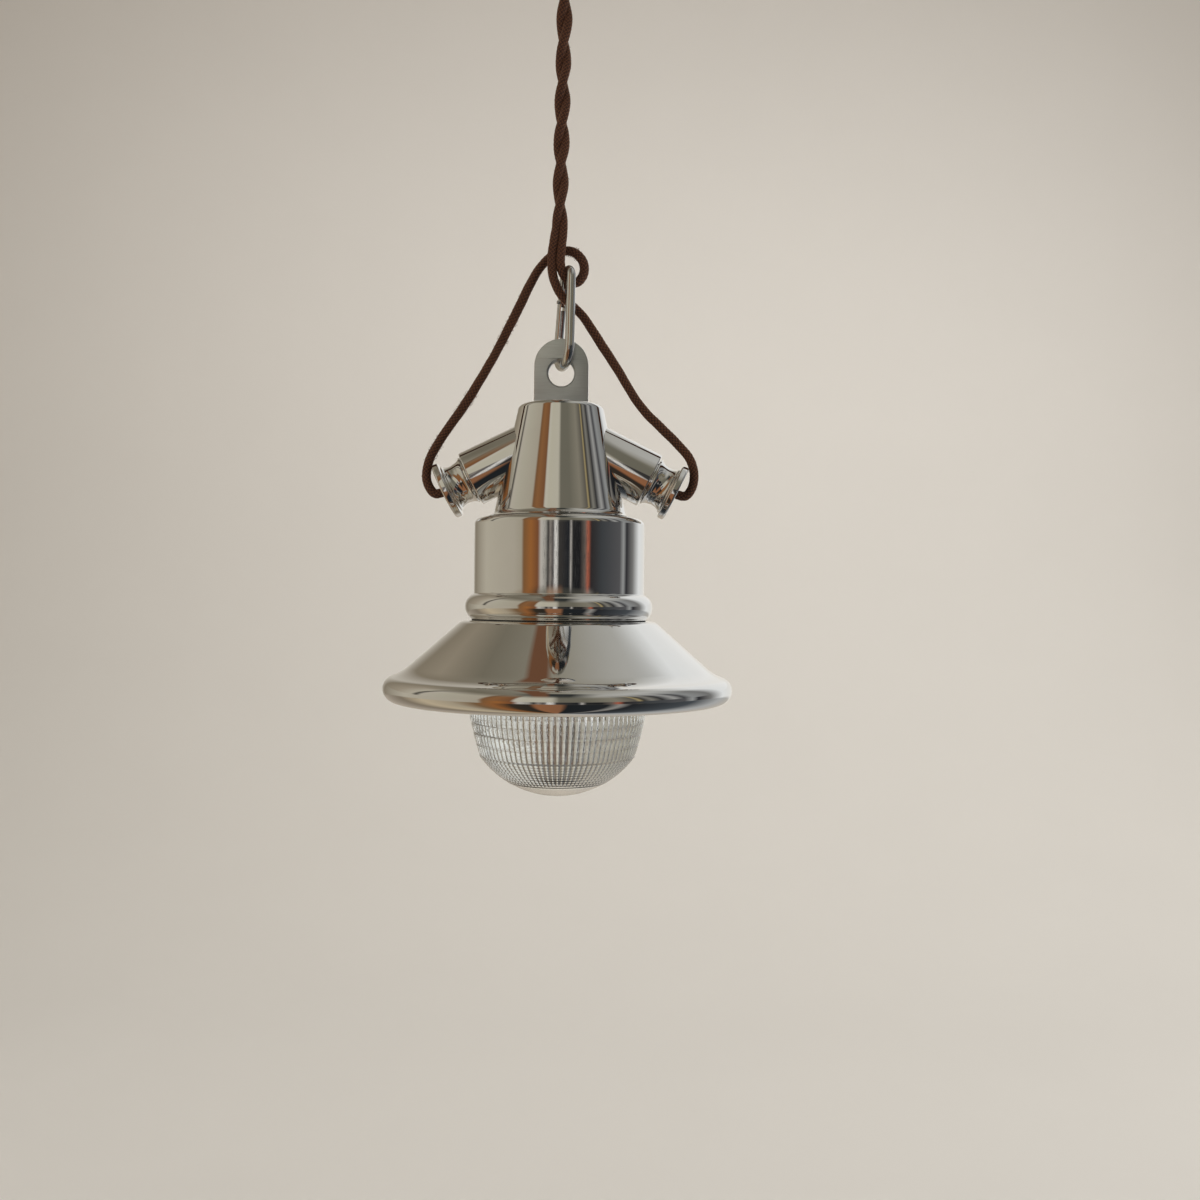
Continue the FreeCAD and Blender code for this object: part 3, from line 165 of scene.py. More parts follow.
def plate(name, loops, thickness, bevel, hole):
    """A flat plate with rounded edges, thickness along Y. The first loop is its outline, the other its hole.

    The hole, given as its height, radius and chamfer, gets a straight chamfer instead of a rounded edge.
    """
    curve = bpy.data.curves.new(name + "_curve", "CURVE")
    curve.dimensions = "2D"
    curve.fill_mode = "BOTH"
    curve.extrude = (thickness / 2 - bevel) * MM
    curve.bevel_depth = bevel * MM
    curve.bevel_resolution = 3
    curve.offset = -bevel * MM
    for loop in loops:
        spline = curve.splines.new("POLY")
        spline.points.add(len(loop) - 1)
        for point, (across, up) in zip(spline.points, loop):
            point.co = (across * MM, up * MM, 0, 1)
        spline.use_cyclic_u = True
    holder = bpy.data.objects.new(name + "_curve", curve)
    data = bpy.data.meshes.new_from_object(holder)
    bpy.data.objects.remove(holder)
    upright = Matrix.Rotation(math.radians(90), 4, "X")
    mesh = bmesh.new()
    mesh.from_mesh(data)
    bmesh.ops.remove_doubles(mesh, verts=mesh.verts, dist=1e-6)
    height, radius, chamfer = hole
    for vert in mesh.verts:
        spot = vert.co / MM
        away = Vector((spot.x, spot.y - height))
        if away.length < radius + 2 * bevel:
            part = (abs(spot.z) - thickness / 2 + bevel) / bevel
            away = away.normalized() * (radius + chamfer * part)
            depth = thickness / 2 - chamfer + chamfer * part
            spot = Vector((away.x, height + away.y, math.copysign(depth, spot.z)))
        vert.co = upright @ spot
    return from_millimetres(name, mesh, 40)


def round_loop(up, radius):
    """A circle on the middle line at a height, as a loop of points."""
    steps = 64
    turns = [2 * math.pi * k / steps for k in range(steps)]
    return [(radius * math.cos(t), up + radius * math.sin(t)) for t in turns]


# ---------------------------------------------------------------- materials

def new_material(name, color, rough, metallic=0.0):
    """A material with its node tree and its Principled shader."""
    material = bpy.data.materials.new(name)
    material.use_nodes = True
    tree = material.node_tree
    shader = tree.nodes["Principled BSDF"]
    shader.inputs["Base Color"].default_value = (*color, 1)
    shader.inputs["Roughness"].default_value = rough
    shader.inputs["Metallic"].default_value = metallic
    return material, tree, shader


def node(tree, kind, links=(), **values):
    """A node with its sockets set: a value that is a node output is linked, any other is stored."""
    made = tree.nodes.new(kind)
    for key, val in values.items():
        setattr(made, key, val)
    for socket, val in dict(links).items():
        if isinstance(val, bpy.types.NodeSocket):
            tree.links.new(val, made.inputs[socket])
        else:
            made.inputs[socket].default_value = val
    return made


def object_coords(tree, scale=(1, 1, 1)):
    """Object coordinates, stretched by scale."""
    coords = node(tree, "ShaderNodeTexCoord")
    return node(tree, "ShaderNodeMapping", {"Vector": coords.outputs["Object"], "Scale": scale}).outputs[0]


def noise(tree, vector, scale, detail=3.0, rough=0.5):
    """Noise over a vector, as its factor socket."""
    links = {"Vector": vector, "Scale": scale, "Detail": detail, "Roughness": rough}
    return node(tree, "ShaderNodeTexNoise", links).outputs["Fac"]


def spread(tree, factor, low, high, start=0.0, stop=1.0):
    """Maps a factor's range to low..high."""
    links = {"Value": factor, "From Min": start, "From Max": stop, "To Min": low, "To Max": high}
    return node(tree, "ShaderNodeMapRange", links).outputs["Result"]


def bump(tree, height, distance, strength):
    """A bump from a height socket."""
    links = {"Height": height, "Distance": distance, "Strength": strength}
    return node(tree, "ShaderNodeBump", links).outputs["Normal"]


def blend_colors(tree, factor, first, second):
    """Two colours mixed by a factor socket."""
    ramp = node(tree, "ShaderNodeValToRGB", {"Fac": factor})
    ramp.color_ramp.elements[0].color = (*first, 1)
    ramp.color_ramp.elements[1].color = (*second, 1)
    return ramp.outputs["Color"]


def chrome_material(name, color, rough, ripple, dust):
    """Plated metal: mirror bright, with a slow ripple from polishing and a thin film of dust."""
    material, tree, shader = new_material(name, color, rough, 1.0)
    coords = object_coords(tree)
    film = noise(tree, coords, 90.0, 6.0, 0.6)
    gloss = spread(tree, film, rough * 0.6, rough * 1.6 + dust, 0.35, 0.75)
    tree.links.new(gloss, shader.inputs["Roughness"])
    tree.links.new(blend_colors(tree, film, [c * 0.94 for c in color], color), shader.inputs["Base Color"])
    slow = bump(tree, noise(tree, coords, 38.0, 1.0, 0.3), 0.0012, ripple)
    tree.links.new(slow, shader.inputs["Normal"])
    return material


def brushed_material(name, color, rough, along, strength):
    """Brushed or machined steel, with fine marks that run along X, where along is their fineness up Z."""
    material, tree, shader = new_material(name, color, rough, 1.0)
    marks = noise(tree, object_coords(tree, (120, 120, along)), 1.0, 5.0, 0.65)
    blotch = noise(tree, object_coords(tree), 160.0, 4.0, 0.6)
    tree.links.new(spread(tree, blotch, rough - 0.08, rough + 0.12), shader.inputs["Roughness"])
    tree.links.new(blend_colors(tree, marks, [c * 0.72 for c in color], color), shader.inputs["Base Color"])
    tree.links.new(bump(tree, marks, 0.00006, strength), shader.inputs["Normal"])
    return material


def plain_material(name, color, rough, metallic=0.0, grain=400.0, depth=0.00003, coat=0.0):
    """Moulded, glazed or plated surface with a fine grain and a little unevenness of colour."""
    material, tree, shader = new_material(name, color, rough, metallic)
    coords = object_coords(tree)
    cloud = noise(tree, coords, grain / 4, 4.0, 0.55)
    tree.links.new(blend_colors(tree, cloud, [c * 0.86 for c in color], color), shader.inputs["Base Color"])
    tree.links.new(spread(tree, cloud, max(rough - 0.06, 0.02), rough + 0.06), shader.inputs["Roughness"])
    tree.links.new(bump(tree, noise(tree, coords, grain, 3.0), depth, 0.3), shader.inputs["Normal"])
    shader.inputs["Coat Weight"].default_value = coat
    return material


def glass_material(name, tint, rough, ior):
    """Clear glass with the faint waviness of pressing."""
    material, tree, shader = new_material(name, tint, rough)
    shader.inputs["Transmission Weight"].default_value = 1.0
    shader.inputs["IOR"].default_value = ior
    wave = noise(tree, object_coords(tree), 70.0, 2.0, 0.4)
    tree.links.new(bump(tree, wave, 0.0004, 0.12), shader.inputs["Normal"])
    return material


def flex_material():
    """Brown braided textile with a soft sheen, painted shade between the yarns and a painted highlight on
    their crowns and on the loose hairs.
    """
    material, tree, shader = new_material("brown_braid", (0.09, 0.035, 0.02), 0.82)
    crown_highlight = node(tree, "ShaderNodeAttribute", attribute_name="crown_highlight").outputs["Fac"]
    uv = node(tree, "ShaderNodeUVMap", uv_map="yarn").outputs["UV"]
    drawn_out = node(tree, "ShaderNodeMapping", {"Vector": uv, "Scale": (60, 900, 1)}).outputs[0]
    fibre = noise(tree, drawn_out, 1.0, 3.0)
    patch = noise(tree, object_coords(tree), 130.0, 4.0, 0.7)
    # Painted shade: the dark colour in the valleys between the yarns. Painted highlight: the bright colour on
    # the yarn crowns and on the hairs.
    base = blend_colors(tree, patch, (0.022, 0.010, 0.008), (0.060, 0.025, 0.016))
    bright = blend_colors(tree, fibre, (0.11, 0.042, 0.024), (0.32, 0.135, 0.065))
    mix = node(tree, "ShaderNodeMix", data_type="RGBA")
    tree.links.new(spread(tree, crown_highlight, 0.0, 0.75, 0.5, 1.0), mix.inputs["Factor"])
    tree.links.new(base, mix.inputs["A"])
    tree.links.new(bright, mix.inputs["B"])
    tree.links.new(mix.outputs["Result"], shader.inputs["Base Color"])
    tree.links.new(bump(tree, fibre, 0.00012, 0.5), shader.inputs["Normal"])
    shader.inputs["Sheen Weight"].default_value = 0.25
    shader.inputs["Sheen Roughness"].default_value = 0.4
    shader.inputs["Sheen Tint"].default_value = (0.9, 0.55, 0.35, 1)
    return material


CHROME = chrome_material("polished_chrome", (0.80, 0.79, 0.775), 0.02, 0.04, 0.012)
HOOK_CHROME = chrome_material("hook_chrome", (0.72, 0.72, 0.71), 0.09, 0.08, 0.06)
LUG_STEEL = brushed_material("lug_steel", (0.74, 0.78, 0.80), 0.34, 1500, 0.7)
FIXING_STEEL = brushed_material("fixing_steel", (0.60, 0.59, 0.56), 0.34, 900, 0.2)
GALLERY_CAST = plain_material("gallery_cast", (0.42, 0.42, 0.41), 0.45, 1.0, 700.0, 0.00008)
RUBBER = plain_material("black_rubber", (0.025, 0.025, 0.025), 0.75, 0.0, 900.0, 0.00005)
PORCELAIN = plain_material("porcelain", (0.86, 0.85, 0.81), 0.22, 0.0, 250.0, 0.00002, 0.6)
BRASS = plain_material("brass_contact", (0.74, 0.53, 0.24), 0.28, 1.0, 300.0)
NICKEL = plain_material("nickel_cap", (0.70, 0.69, 0.67), 0.25, 1.0, 300.0)
SLEEVE = plain_material("lead_sleeve", (0.62, 0.57, 0.48), 0.6, 0.0, 900.0, 0.00006)
TERMINAL = plain_material("terminal_plastic", (0.82, 0.81, 0.77), 0.45, 0.0, 600.0)
PHOSPHOR = plain_material("filament_phosphor", (0.80, 0.72, 0.52), 0.6, 0.0, 900.0)
PRISM_GLASS = glass_material("prism_glass", (0.985, 1.0, 0.995), 0.0, 1.5)
BULB_GLASS = glass_material("bulb_envelope", (1.0, 1.0, 1.0), 0.0, 1.45)
BRAID = flex_material()


def dress(obj, material):
    """Gives an object one material."""
    obj.data.materials.clear()
    obj.data.materials.append(material)


def stand_in(obj, node_name, material, body):
    """Puts a finished piece in place of a CAD node."""
    dress(obj, material)
    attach(obj, body)
    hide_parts(node_name)


# ---------------------------------------------------------------- flex

# Each cord's route, as its own control points. The pair hangs twisted from the cord grip, then the strands
# part: one goes through the hook's eye and round over it to the left entry, the other to the right entry.
TWIST = [(0.0, 0.0, 380.0), (-0.75, -0.8, 320.0), (-1.4, -1.5, 262.0)]
GLAND_TURN = [(61.4, 0.0, 154.5), (62.4, 0.0, 145.2), (59.4, 0.0, 139.3), (56.0, 0.0, 138.55),
              (49.55, 0.0, 141.77)]
STRAND_TO_LEFT = [
    (0.22, -1.5, 262.0), (-0.3, -2.2, 254.5), (-1.0, -3.2, 247.5), (-0.4, -2.8, 241.8), (2.6, -0.6, 238.0),
    (7.0, 1.0, 237.3), (10.2, 2.0, 241.8), (9.9, 2.2, 248.0), (5.6, 2.6, 252.6), (0.2, 2.9, 253.3),
    (-4.6, 2.4, 251.2), (-9.6, 1.6, 246.3), (-14.6, 0.8, 237.8), (-22.0, 0.3, 221.5),
    (-32.5, 0.1, 200.5), (-45.0, 0.0, 179.5), (-55.0, 0.0, 165.5),
] + [(-x, y, z) for x, y, z in GLAND_TURN]
STRAND_TO_RIGHT = [
    (-3.02, -1.5, 262.0), (-4.2, -2.2, 254.5), (-5.0, -2.8, 246.0), (-4.3, -3.0, 238.5), (-0.9, -2.7, 231.0),
    (4.6, -1.2, 226.7), (9.8, 0.0, 222.0), (15.5, 0.4, 213.4), (26.0, 0.3, 197.6), (36.8, 0.1, 179.6),
    (47.2, 0.0, 169.9), (56.0, 0.0, 161.4),
] + GLAND_TURN

STRAND_RADIUS = 2.1
PAIR_OFFSET = 1.62
TWIST_PITCH = 38.0
UNTWIST = 3.0
RING_STEP = 0.27
AROUND = 40
CARRIERS = 7
BRAID_PITCH = 1.9
BRAID_HEIGHT = 0.16
FUZZ_PER_MM = 5.0
FIRST_HAIR, LAST_HAIR = 10, 60  # rings without hairs inside the cord grip and inside the gland
STRAY_HAIRS = 0.2
WEAR_PATCHES = 26
WORN_AFTER = 140  # how far along a strand the wear takes to reach its full strength
HAIR_THICK, CURL_THICK = 0.04, 0.085


def smooth_line(name, points):
    """The smooth line of a route: the points of its NURBS spline, in millimetres."""
    curve = bpy.data.curves.new(name, "CURVE")
    curve.dimensions = "3D"
    curve.resolution_u = 40
    spline = curve.splines.new("NURBS")
    spline.points.add(len(points) - 1)
    for point, place in zip(spline.points, points):
        point.co = (*place, 1)
    spline.order_u = 3
    spline.use_endpoint_u = True
    holder = bpy.data.objects.new(name, curve)
    data = bpy.data.meshes.new_from_object(holder)
    line = np.array([v.co[:] for v in data.vertices])
    bpy.data.objects.remove(holder)
    return line


def resample(line, step):
    """The same line with evenly spaced points."""
    lengths = np.concatenate([[0], np.cumsum(np.linalg.norm(np.diff(line, axis=0), axis=1))])
    count = int(lengths[-1] / step) + 1
    marks = np.linspace(0, lengths[-1], count)
    return np.column_stack([np.interp(marks, lengths, line[:, i]) for i in range(3)])


def twisted_strand(phase):
    """One strand of the twisted pair, a right-handed twist that eases off where the strands part."""
    axis = resample(smooth_line("twist_route", TWIST), 0.5)
    up = axis[:, 2] - axis[-1, 2]
    eased = np.where(up < UNTWIST, up**2 / (2 * UNTWIST), up - UNTWIST / 2)
    angle = phase + 2 * math.pi * eased / TWIST_PITCH
    offset = PAIR_OFFSET * np.column_stack([np.cos(angle), np.sin(angle), np.zeros(len(up))])
    return axis + offset


def frames_along(line):
    """Tangents and two side directions along a line, carried along without twisting."""
    tangent = np.gradient(line, axis=0)
    tangent /= np.linalg.norm(tangent, axis=1)[:, None]
    side = np.empty_like(line)
    side[0] = np.cross(tangent[0], (0, 1, 0))
    side[0] /= np.linalg.norm(side[0])
    for i in range(1, len(line)):
        carried = side[i - 1] - tangent[i] * np.dot(side[i - 1], tangent[i])
        side[i] = carried / np.linalg.norm(carried)
    return tangent, side, np.cross(tangent, side)


def braid(turn, along):
    """Height of the braid, 0 to 1, at an angle round the strand and a distance along it."""
    first = CARRIERS * turn + 2 * math.pi * along / BRAID_PITCH
    second = CARRIERS * turn - 2 * math.pi * along / BRAID_PITCH
    one, two = np.abs(np.cos(first / 2)), np.abs(np.cos(second / 2))
    over = np.cos(first / 2) * np.cos(second / 2) > 0
    return np.where(over, np.maximum(one, 0.62 * two), np.maximum(0.62 * one, two)) ** 1.5


def fuzz(line, side, other, tangent, draw, worn):
    """Loose fibres that stand off the strand: thin tapering hairs, and curls of yarn where it is worn."""
    verts, faces = [], []
    patches = [draw.random() ** 1.5 for _ in range(WEAR_PATCHES)]
    for _ in range(int(len(line) * RING_STEP * FUZZ_PER_MM)):
        i = draw.randrange(FIRST_HAIR, len(line) - LAST_HAIR)
        patch = patches[int((WEAR_PATCHES - 1) * i / len(line))]
        wear = patch * worn * min(1.0, i * RING_STEP / WORN_AFTER)
        if draw.random() > STRAY_HAIRS + wear:
            continue
        turn = draw.uniform(0, 2 * math.pi)
        outward = side[i] * math.cos(turn) + other[i] * math.sin(turn)
        across = other[i] * math.cos(turn) - side[i] * math.sin(turn)
        curl = draw.random() < wear
        length = draw.uniform(0.5, 1.0) * (1.0 + wear)
        lean, swing = draw.uniform(-1.0, 1.0), draw.uniform(-0.8, 0.8)
        steps = 6 if curl else 4
        base = len(verts)
        for step in range(steps):
            part = step / (steps - 1)
            out = math.sin(math.pi * 0.9 * part) * 0.55 if curl else 0.45 * part
            middle = (line[i] + outward * (STRAND_RADIUS - 0.12 + length * out)
                      + tangent[i] * lean * length * part + across * swing * length * part)
            thick = (CURL_THICK if curl else HAIR_THICK) * (1 - 0.6 * part)
            for corner in range(4):
                bend = math.pi * corner / 2
                verts.append(middle + thick * (across * math.cos(bend) + tangent[i] * math.sin(bend)))
        for step in range(steps - 1):
            for corner in range(4):
                low, high, nxt = base + 4 * step, base + 4 * step + 4, (corner + 1) % 4
                faces.append((low + corner, low + nxt, high + nxt, high + corner))
        faces.append((base + 3, base + 2, base + 1, base))
        faces.append(tuple(len(verts) - 4 + corner for corner in range(4)))
    return verts, faces


def strand(name, phase, route, node_name, worn, draw):
    """One braided strand, from the cord grip to its gland."""
    line = resample(np.vstack([twisted_strand(phase)[:-1], smooth_line(name + "_route", route)]), RING_STEP)
    tangent, side, other = frames_along(line)
    along = np.arange(len(line)) * RING_STEP
    turn = 2 * math.pi * np.arange(AROUND) / AROUND
    height = braid(turn[None, :], along[:, None])
    slub = (1 + 0.035 * np.sin(along / 2.3 + 3 * phase)[:, None] * np.sin(turn + along[:, None] / 5)
            + 0.03 * np.sin(along / 7.7 + phase)[:, None] + 0.02 * np.sin(2 * turn + along[:, None] / 9))
    radius = (STRAND_RADIUS - BRAID_HEIGHT * (0.75 - height)) * slub
    ring = (np.cos(turn)[None, :, None] * side[:, None, :] + np.sin(turn)[None, :, None] * other[:, None, :])
    verts = (line[:, None, :] + radius[:, :, None] * ring).reshape(-1, 3)
    faces = []
    for i in range(len(line) - 1):
        for k in range(AROUND):
            nxt = (k + 1) % AROUND
            faces.append((i * AROUND + k, i * AROUND + nxt, (i + 1) * AROUND + nxt, (i + 1) * AROUND + k))
    faces.append(tuple(range(AROUND - 1, -1, -1)))
    last = (len(line) - 1) * AROUND
    faces.append(tuple(range(last, last + AROUND)))
    hair_verts, hair_faces = fuzz(line, side, other, tangent, draw, worn)
    base = len(verts)
    every = np.vstack([verts, np.array(hair_verts)])
    faces += [tuple(base + v for v in face) for face in hair_faces]
    data = bpy.data.meshes.new(name)
    data.from_pydata([row(v) for v in every], [], faces)
    # The braid's height, at full strength on the hairs, is the mask of the painted highlight.
    crown_highlight = np.concatenate([height.ravel(), np.ones(len(hair_verts))])
    data.attributes.new("crown_highlight", "FLOAT", "POINT").data.foreach_set("value", crown_highlight.astype(np.float32))
    places = np.column_stack([np.tile(turn / (2 * math.pi), len(line)), np.repeat(along / 1000, AROUND)])
    places = np.vstack([places, np.zeros((len(hair_verts), 2))])
    layer = data.uv_layers.new(name="yarn")
    loops = np.empty(len(data.loops), dtype=np.int32)
    data.loops.foreach_get("vertex_index", loops)
    layer.data.foreach_set("uv", places[loops].astype(np.float32).ravel())
    obj = finish_mesh(name, data, 80)
    dress(obj, BRAID)
    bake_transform(obj)
    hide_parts(node_name, "flex_twisted")


draw = random.Random(7)
strand("flex_core_left", 0.0, STRAND_TO_LEFT, "flex_strand_left", 1.0, draw)
strand("flex_core_right", math.pi, STRAND_TO_RIGHT, "flex_strand_right", 0.35, draw)


# ---------------------------------------------------------------- chrome shells

def ceiling_cup():
    """Spun cup against the ceiling."""
    foot, top = DROP - 27, DROP
    shell = lathe("ceiling_cup_shell", outline([
        (5.2, foot), (31.4, foot), (32, foot, 8), (40, foot + 8), (40, top - 0.4, 0.4), (39.6, top),
        (39.2, top, 0.4), (38.8, top - 0.4), (38.8, foot + 8, -6.8), (32, foot + 1.2), (5.2, foot + 1.2)]))
    stand_in(shell, "ceiling_cup", CHROME, "ceiling")


def cord_grip():
    """Tapered grip with a rolled collar at its top."""
    foot = DROP - 27
    grip = lathe("cord_grip_shell", rounded([
        (4.6, foot - 12, 0.4), (5.6, foot - 12, 0.8), (7, foot - 7, 2), (7, foot - 2.4, 0.3),
        (8.6, foot - 2, 0.6), (8.6, foot, 0.2), (4.9, foot, 0.1), (4.9, foot + 10, 0.4),
        (3.7, foot + 10, 0.1), (3.7, foot - 10.8, 0.4)]), segments=96)
    stand_in(grip, "cord_grip_body", CHROME, "ceiling")


def cone():
    """Cone with a small foot flare and a rounded shoulder."""
    shell = lathe("entry_cone_shell", outline([
        (21.5, 128), (32.7, 128, 0.3), (33, 128.3), (33, 128.5, -2.9), (30.2, 131.4), (20, 177.6, 2.6),
        (17.6, 180), (5.05, 180), (5.05, 176.4), (16.6, 176.4), (27.6, 131.6), (21.5, 131.6)]), segments=256)
    stand_in(shell, "entry_cone", CHROME, "lantern")


def collar():
    """Straight collar with a bead at its foot."""
    shell = lathe("collar_shell", outline([
        (33, 81.2), (40.2, 81.2, 0.4), (40.6, 81.5, 7.1), (43.3, 86.9, 6.31), (39.9, 92.5),
        (39.45, 92.75, -0.6), (39.3, 93.3), (39.3, 124.5, 3), (36.3, 127.5), (21, 127.5), (21, 125),
        (36.8, 125), (36.8, 84.2), (33, 84.2)]), segments=256)
    stand_in(shell, "collar_housing", CHROME, "lantern")


# The shade's section: a shoulder, a straight flare, a hollow that leads into the rolled rim.
SHADE_WALL = 1.2
SHOULDER_CENTRE, SHOULDER = (42.1, 74.7), 6.0
FLARE_TILT, FLARE_HOLLOW = math.radians(41.5), 20.0
RIM_CENTRE, RIM_ROLL = (74.3, 49.6), 5.7


def rim_point(angle, roll):
    """A point on the rim's roll, at an angle from straight up towards the outside."""
    turn = math.radians(angle)
    return (RIM_CENTRE[0] + roll * math.sin(turn), RIM_CENTRE[1] + roll * math.cos(turn))


def flare(inward):
    """The flare's two straight ends, the hollow's radius and the angle where that meets the roll.

    They are those of the outer skin, or of the skin that lies a wall's thickness inward.
    """
    along = Vector((math.cos(FLARE_TILT), -math.sin(FLARE_TILT)))
    out = Vector((math.sin(FLARE_TILT), math.cos(FLARE_TILT)))
    start = Vector(SHOULDER_CENTRE) + SHOULDER * out
    centre = Vector(RIM_CENTRE) - start
    span = FLARE_HOLLOW + RIM_ROLL
    reach = math.sqrt(span**2 - (FLARE_HOLLOW - centre.dot(out)) ** 2)
    end = start + along * (centre.dot(along) - reach)
    meet = math.degrees(FLARE_TILT - math.asin(reach / span))
    return start - inward * out, end - inward * out, FLARE_HOLLOW + inward, meet


def shade():
    """Spun shade with a rolled rim."""
    inner = RIM_ROLL - SHADE_WALL
    top, bottom, hollow, meet = flare(0.0)
    top_inside, bottom_inside, hollow_inside, meet = flare(SHADE_WALL)
    shell = lathe("shade_shell", outline([
        (36.5, 79.5), (42.1, 79.5, SHADE_WALL - SHOULDER), tuple(top_inside), (*bottom_inside, hollow_inside),
        *[rim_point(angle, inner) + (-inner,) for angle in (meet, 90, 180, 270)],
        rim_point(325, inner),
        *[rim_point(angle, RIM_ROLL) + (RIM_ROLL,) for angle in (325, 270, 180, 90)],
        rim_point(meet, RIM_ROLL) + (-hollow,), tuple(bottom), (*top, SHOULDER),
        (42.1, 80.7), (36.5, 80.7)], 3.0), segments=288)
    stand_in(shell, "shade", CHROME, "lantern")


def entry_frame(side):
    """The frame of a side entry: origin at the centre of its outer face, Z outwards."""
    return Matrix.Translation((side * 41.5, 0, 145.8)) @ Matrix.Rotation(side * math.radians(116.6), 4, "Y")


def side_entries():
    """Side tubes, which run into the cone's wall, and their turned gland nuts."""
    for side, sign in (("left", -1), ("right", 1)):
        place = entry_frame(sign)
        tube = lathe("entry_tube_shell_" + side, rounded([
            (10, -29.5, 0.1), (13, -29.5, 0.1), (13, 0, 0.7), (10, 0, 0.4)]), place, 128)
        stand_in(tube, "entry_tube_" + side, CHROME, "lantern")
        nut = lathe("gland_nut_shell_" + side, outline([
            (4, -8), (9.93, -8), (9.93, 0.3), (10.9, 0.3, 0.4), (11.3, 0.7), (11.3, 1.1, -4.2),
            (9.7, 4.2, -5.5), (10.6, 9.2, 1.2), (11.4, 10.1), (12.6, 10.3, 1), (13.4, 11.3),
            (13.4, 12.7, 1), (12.4, 13.7), (8.2, 13.7, -0.5), (7.7, 13.3), (5.8, 13.2, -1.8),
            (4, 11.6)]), place, 128)
        stand_in(nut, "gland_nut_" + side, CHROME, "gland_" + side)


def lens_ring():
    """Threaded ring that holds the glass up, turned as a plain section."""
    ring = lathe("lens_ring_shell", rounded([
        (41.7, 56.8, 0.3), (47.6, 56.8, 1.3), (47.6, 71, 0.5), (44.48, 71, 0.2), (44.48, 59.2, 0.1),
        (41.7, 59.2, 0.3)]), segments=192)
    stand_in(ring, "lens_ring", CHROME, "lens_ring")


ceiling_cup()
cord_grip()
cone()
collar()
shade()
side_entries()
lens_ring()


# ---------------------------------------------------------------- lug

def hanging_lug():
    """Flat steel plate with a round top, its edges just broken, on a plain shank."""
    arch = [(12.5 * math.cos(a), 198.5 + 12.5 * math.sin(a)) for a in np.linspace(0, math.pi, 49)]
    outer = [(-12.5, 180.0), (12.5, 180.0)] + arch
    height, radius, chamfer = 195.1, 6.0, 0.8
    lug = plate("lug_plate", [outer, round_loop(height, radius)], 4.0, 0.35, (height, radius, chamfer))
    shank = lathe("lug_shank", rounded([
        (0, 160, 0), (4.4, 160, 0), (4.9, 160.6, 0), (4.9, 180.1, 0), (0, 180.1, 0)]), segments=64)
    dress(shank, LUG_STEEL)
    stand_in(lug, "hanging_lug", LUG_STEEL, "lantern")
    shank.parent = lug


hanging_lug()


# ---------------------------------------------------------------- glass

FLUTES = 84
GLASS_AROUND = FLUTES * 8
FLUTE_DEPTH = 1.15
CAP_FLUTE_DEPTH = 0.9
CAP_RADIUS = 43.9
CAP_WALL, SIDE_WALL = 3.0, 3.1
RING_LINES = (19.3, 24.5, 29.5, 34.0)
STEPS_FROM, STEPS_TO = 6.0, 18.9


def glass_outer(height):
    """Outside radius of the dome at a height."""
    if height >= 36.3:
        return 40.5 + 0.5 * (height - 36.3) / 23.2
    if height >= STEPS_TO:
        part = (height - STEPS_TO) / 17.4
        return 36.1 + 4.4 * part + 1.1 * part * (1 - part)
    return math.sqrt(max(CAP_RADIUS**2 - (CAP_RADIUS - height) ** 2, 0))


def glass_rings():
    """The dome's outline, up the outside and down the inside, with the depth of the flutes at each ring."""
    rings = []
    heights = [CAP_RADIUS * (1 - math.cos(math.asin(r / CAP_RADIUS))) for r in np.linspace(0, 36.0, 150)]
    heights += list(np.linspace(19.2, 59.5, 150))
    for height in heights:
        radius = glass_outer(height)
        if STEPS_FROM < height < STEPS_TO:
            radius += 0.27 * abs(math.sin(math.pi * (height - STEPS_FROM) / 1.29))
        for line in RING_LINES:
            radius -= 0.28 * math.exp(-((height - line) / 0.32) ** 2)
        rings.append((radius, height, 0.0))
    rings += [(43.5, 59.5, 0), (43.8, 59.8, 0), (43.8, 62.2, 0), (43.5, 62.5, 0), (38.0, 62.5, 0.0)]
    for height in np.linspace(61.5, 20.4, 110):
        depth = FLUTE_DEPTH * min(1.0, (61.5 - height) / 3.0)
        rings.append((glass_outer(height) - SIDE_WALL, height, depth))
    inner = CAP_RADIUS - CAP_WALL
    for radius in np.linspace(33.1, 0, 60):
        height = CAP_RADIUS - math.sqrt(inner**2 - radius**2)
        depth = CAP_FLUTE_DEPTH * min(1.0, max(0.0, (radius - 20.0) / 6.0))
        rings.append((radius, height, depth))
    return rings


def glass_dome():
    """Pressed glass: smooth outside with ring lines and fine steps, upright flutes inside."""
    mesh = bmesh.new()
    made = []
    turns = [2 * math.pi * k / GLASS_AROUND for k in range(GLASS_AROUND)]
    for radius, height, depth in glass_rings():
        if radius < 1e-6:
            made.append([mesh.verts.new((0, 0, height))])
            continue
        ring = []
        for turn in turns:
            spot = radius + depth * (abs(math.sin(FLUTES * turn / 2)) - 0.6)
            ring.append(mesh.verts.new((spot * math.cos(turn), spot * math.sin(turn), height)))
        made.append(ring)
    for low, high in zip(made, made[1:]):
        for k in range(GLASS_AROUND):
            nxt = (k + 1) % GLASS_AROUND
            if len(low) == 1:
                mesh.faces.new((low[0], high[nxt], high[k]))
            elif len(high) == 1:
                mesh.faces.new((low[k], low[nxt], high[0]))
            else:
                mesh.faces.new((low[k], low[nxt], high[nxt], high[k]))
    stand_in(from_millimetres("glass_dome", mesh, 50), "glass_lens", PRISM_GLASS, "lens")


glass_dome()


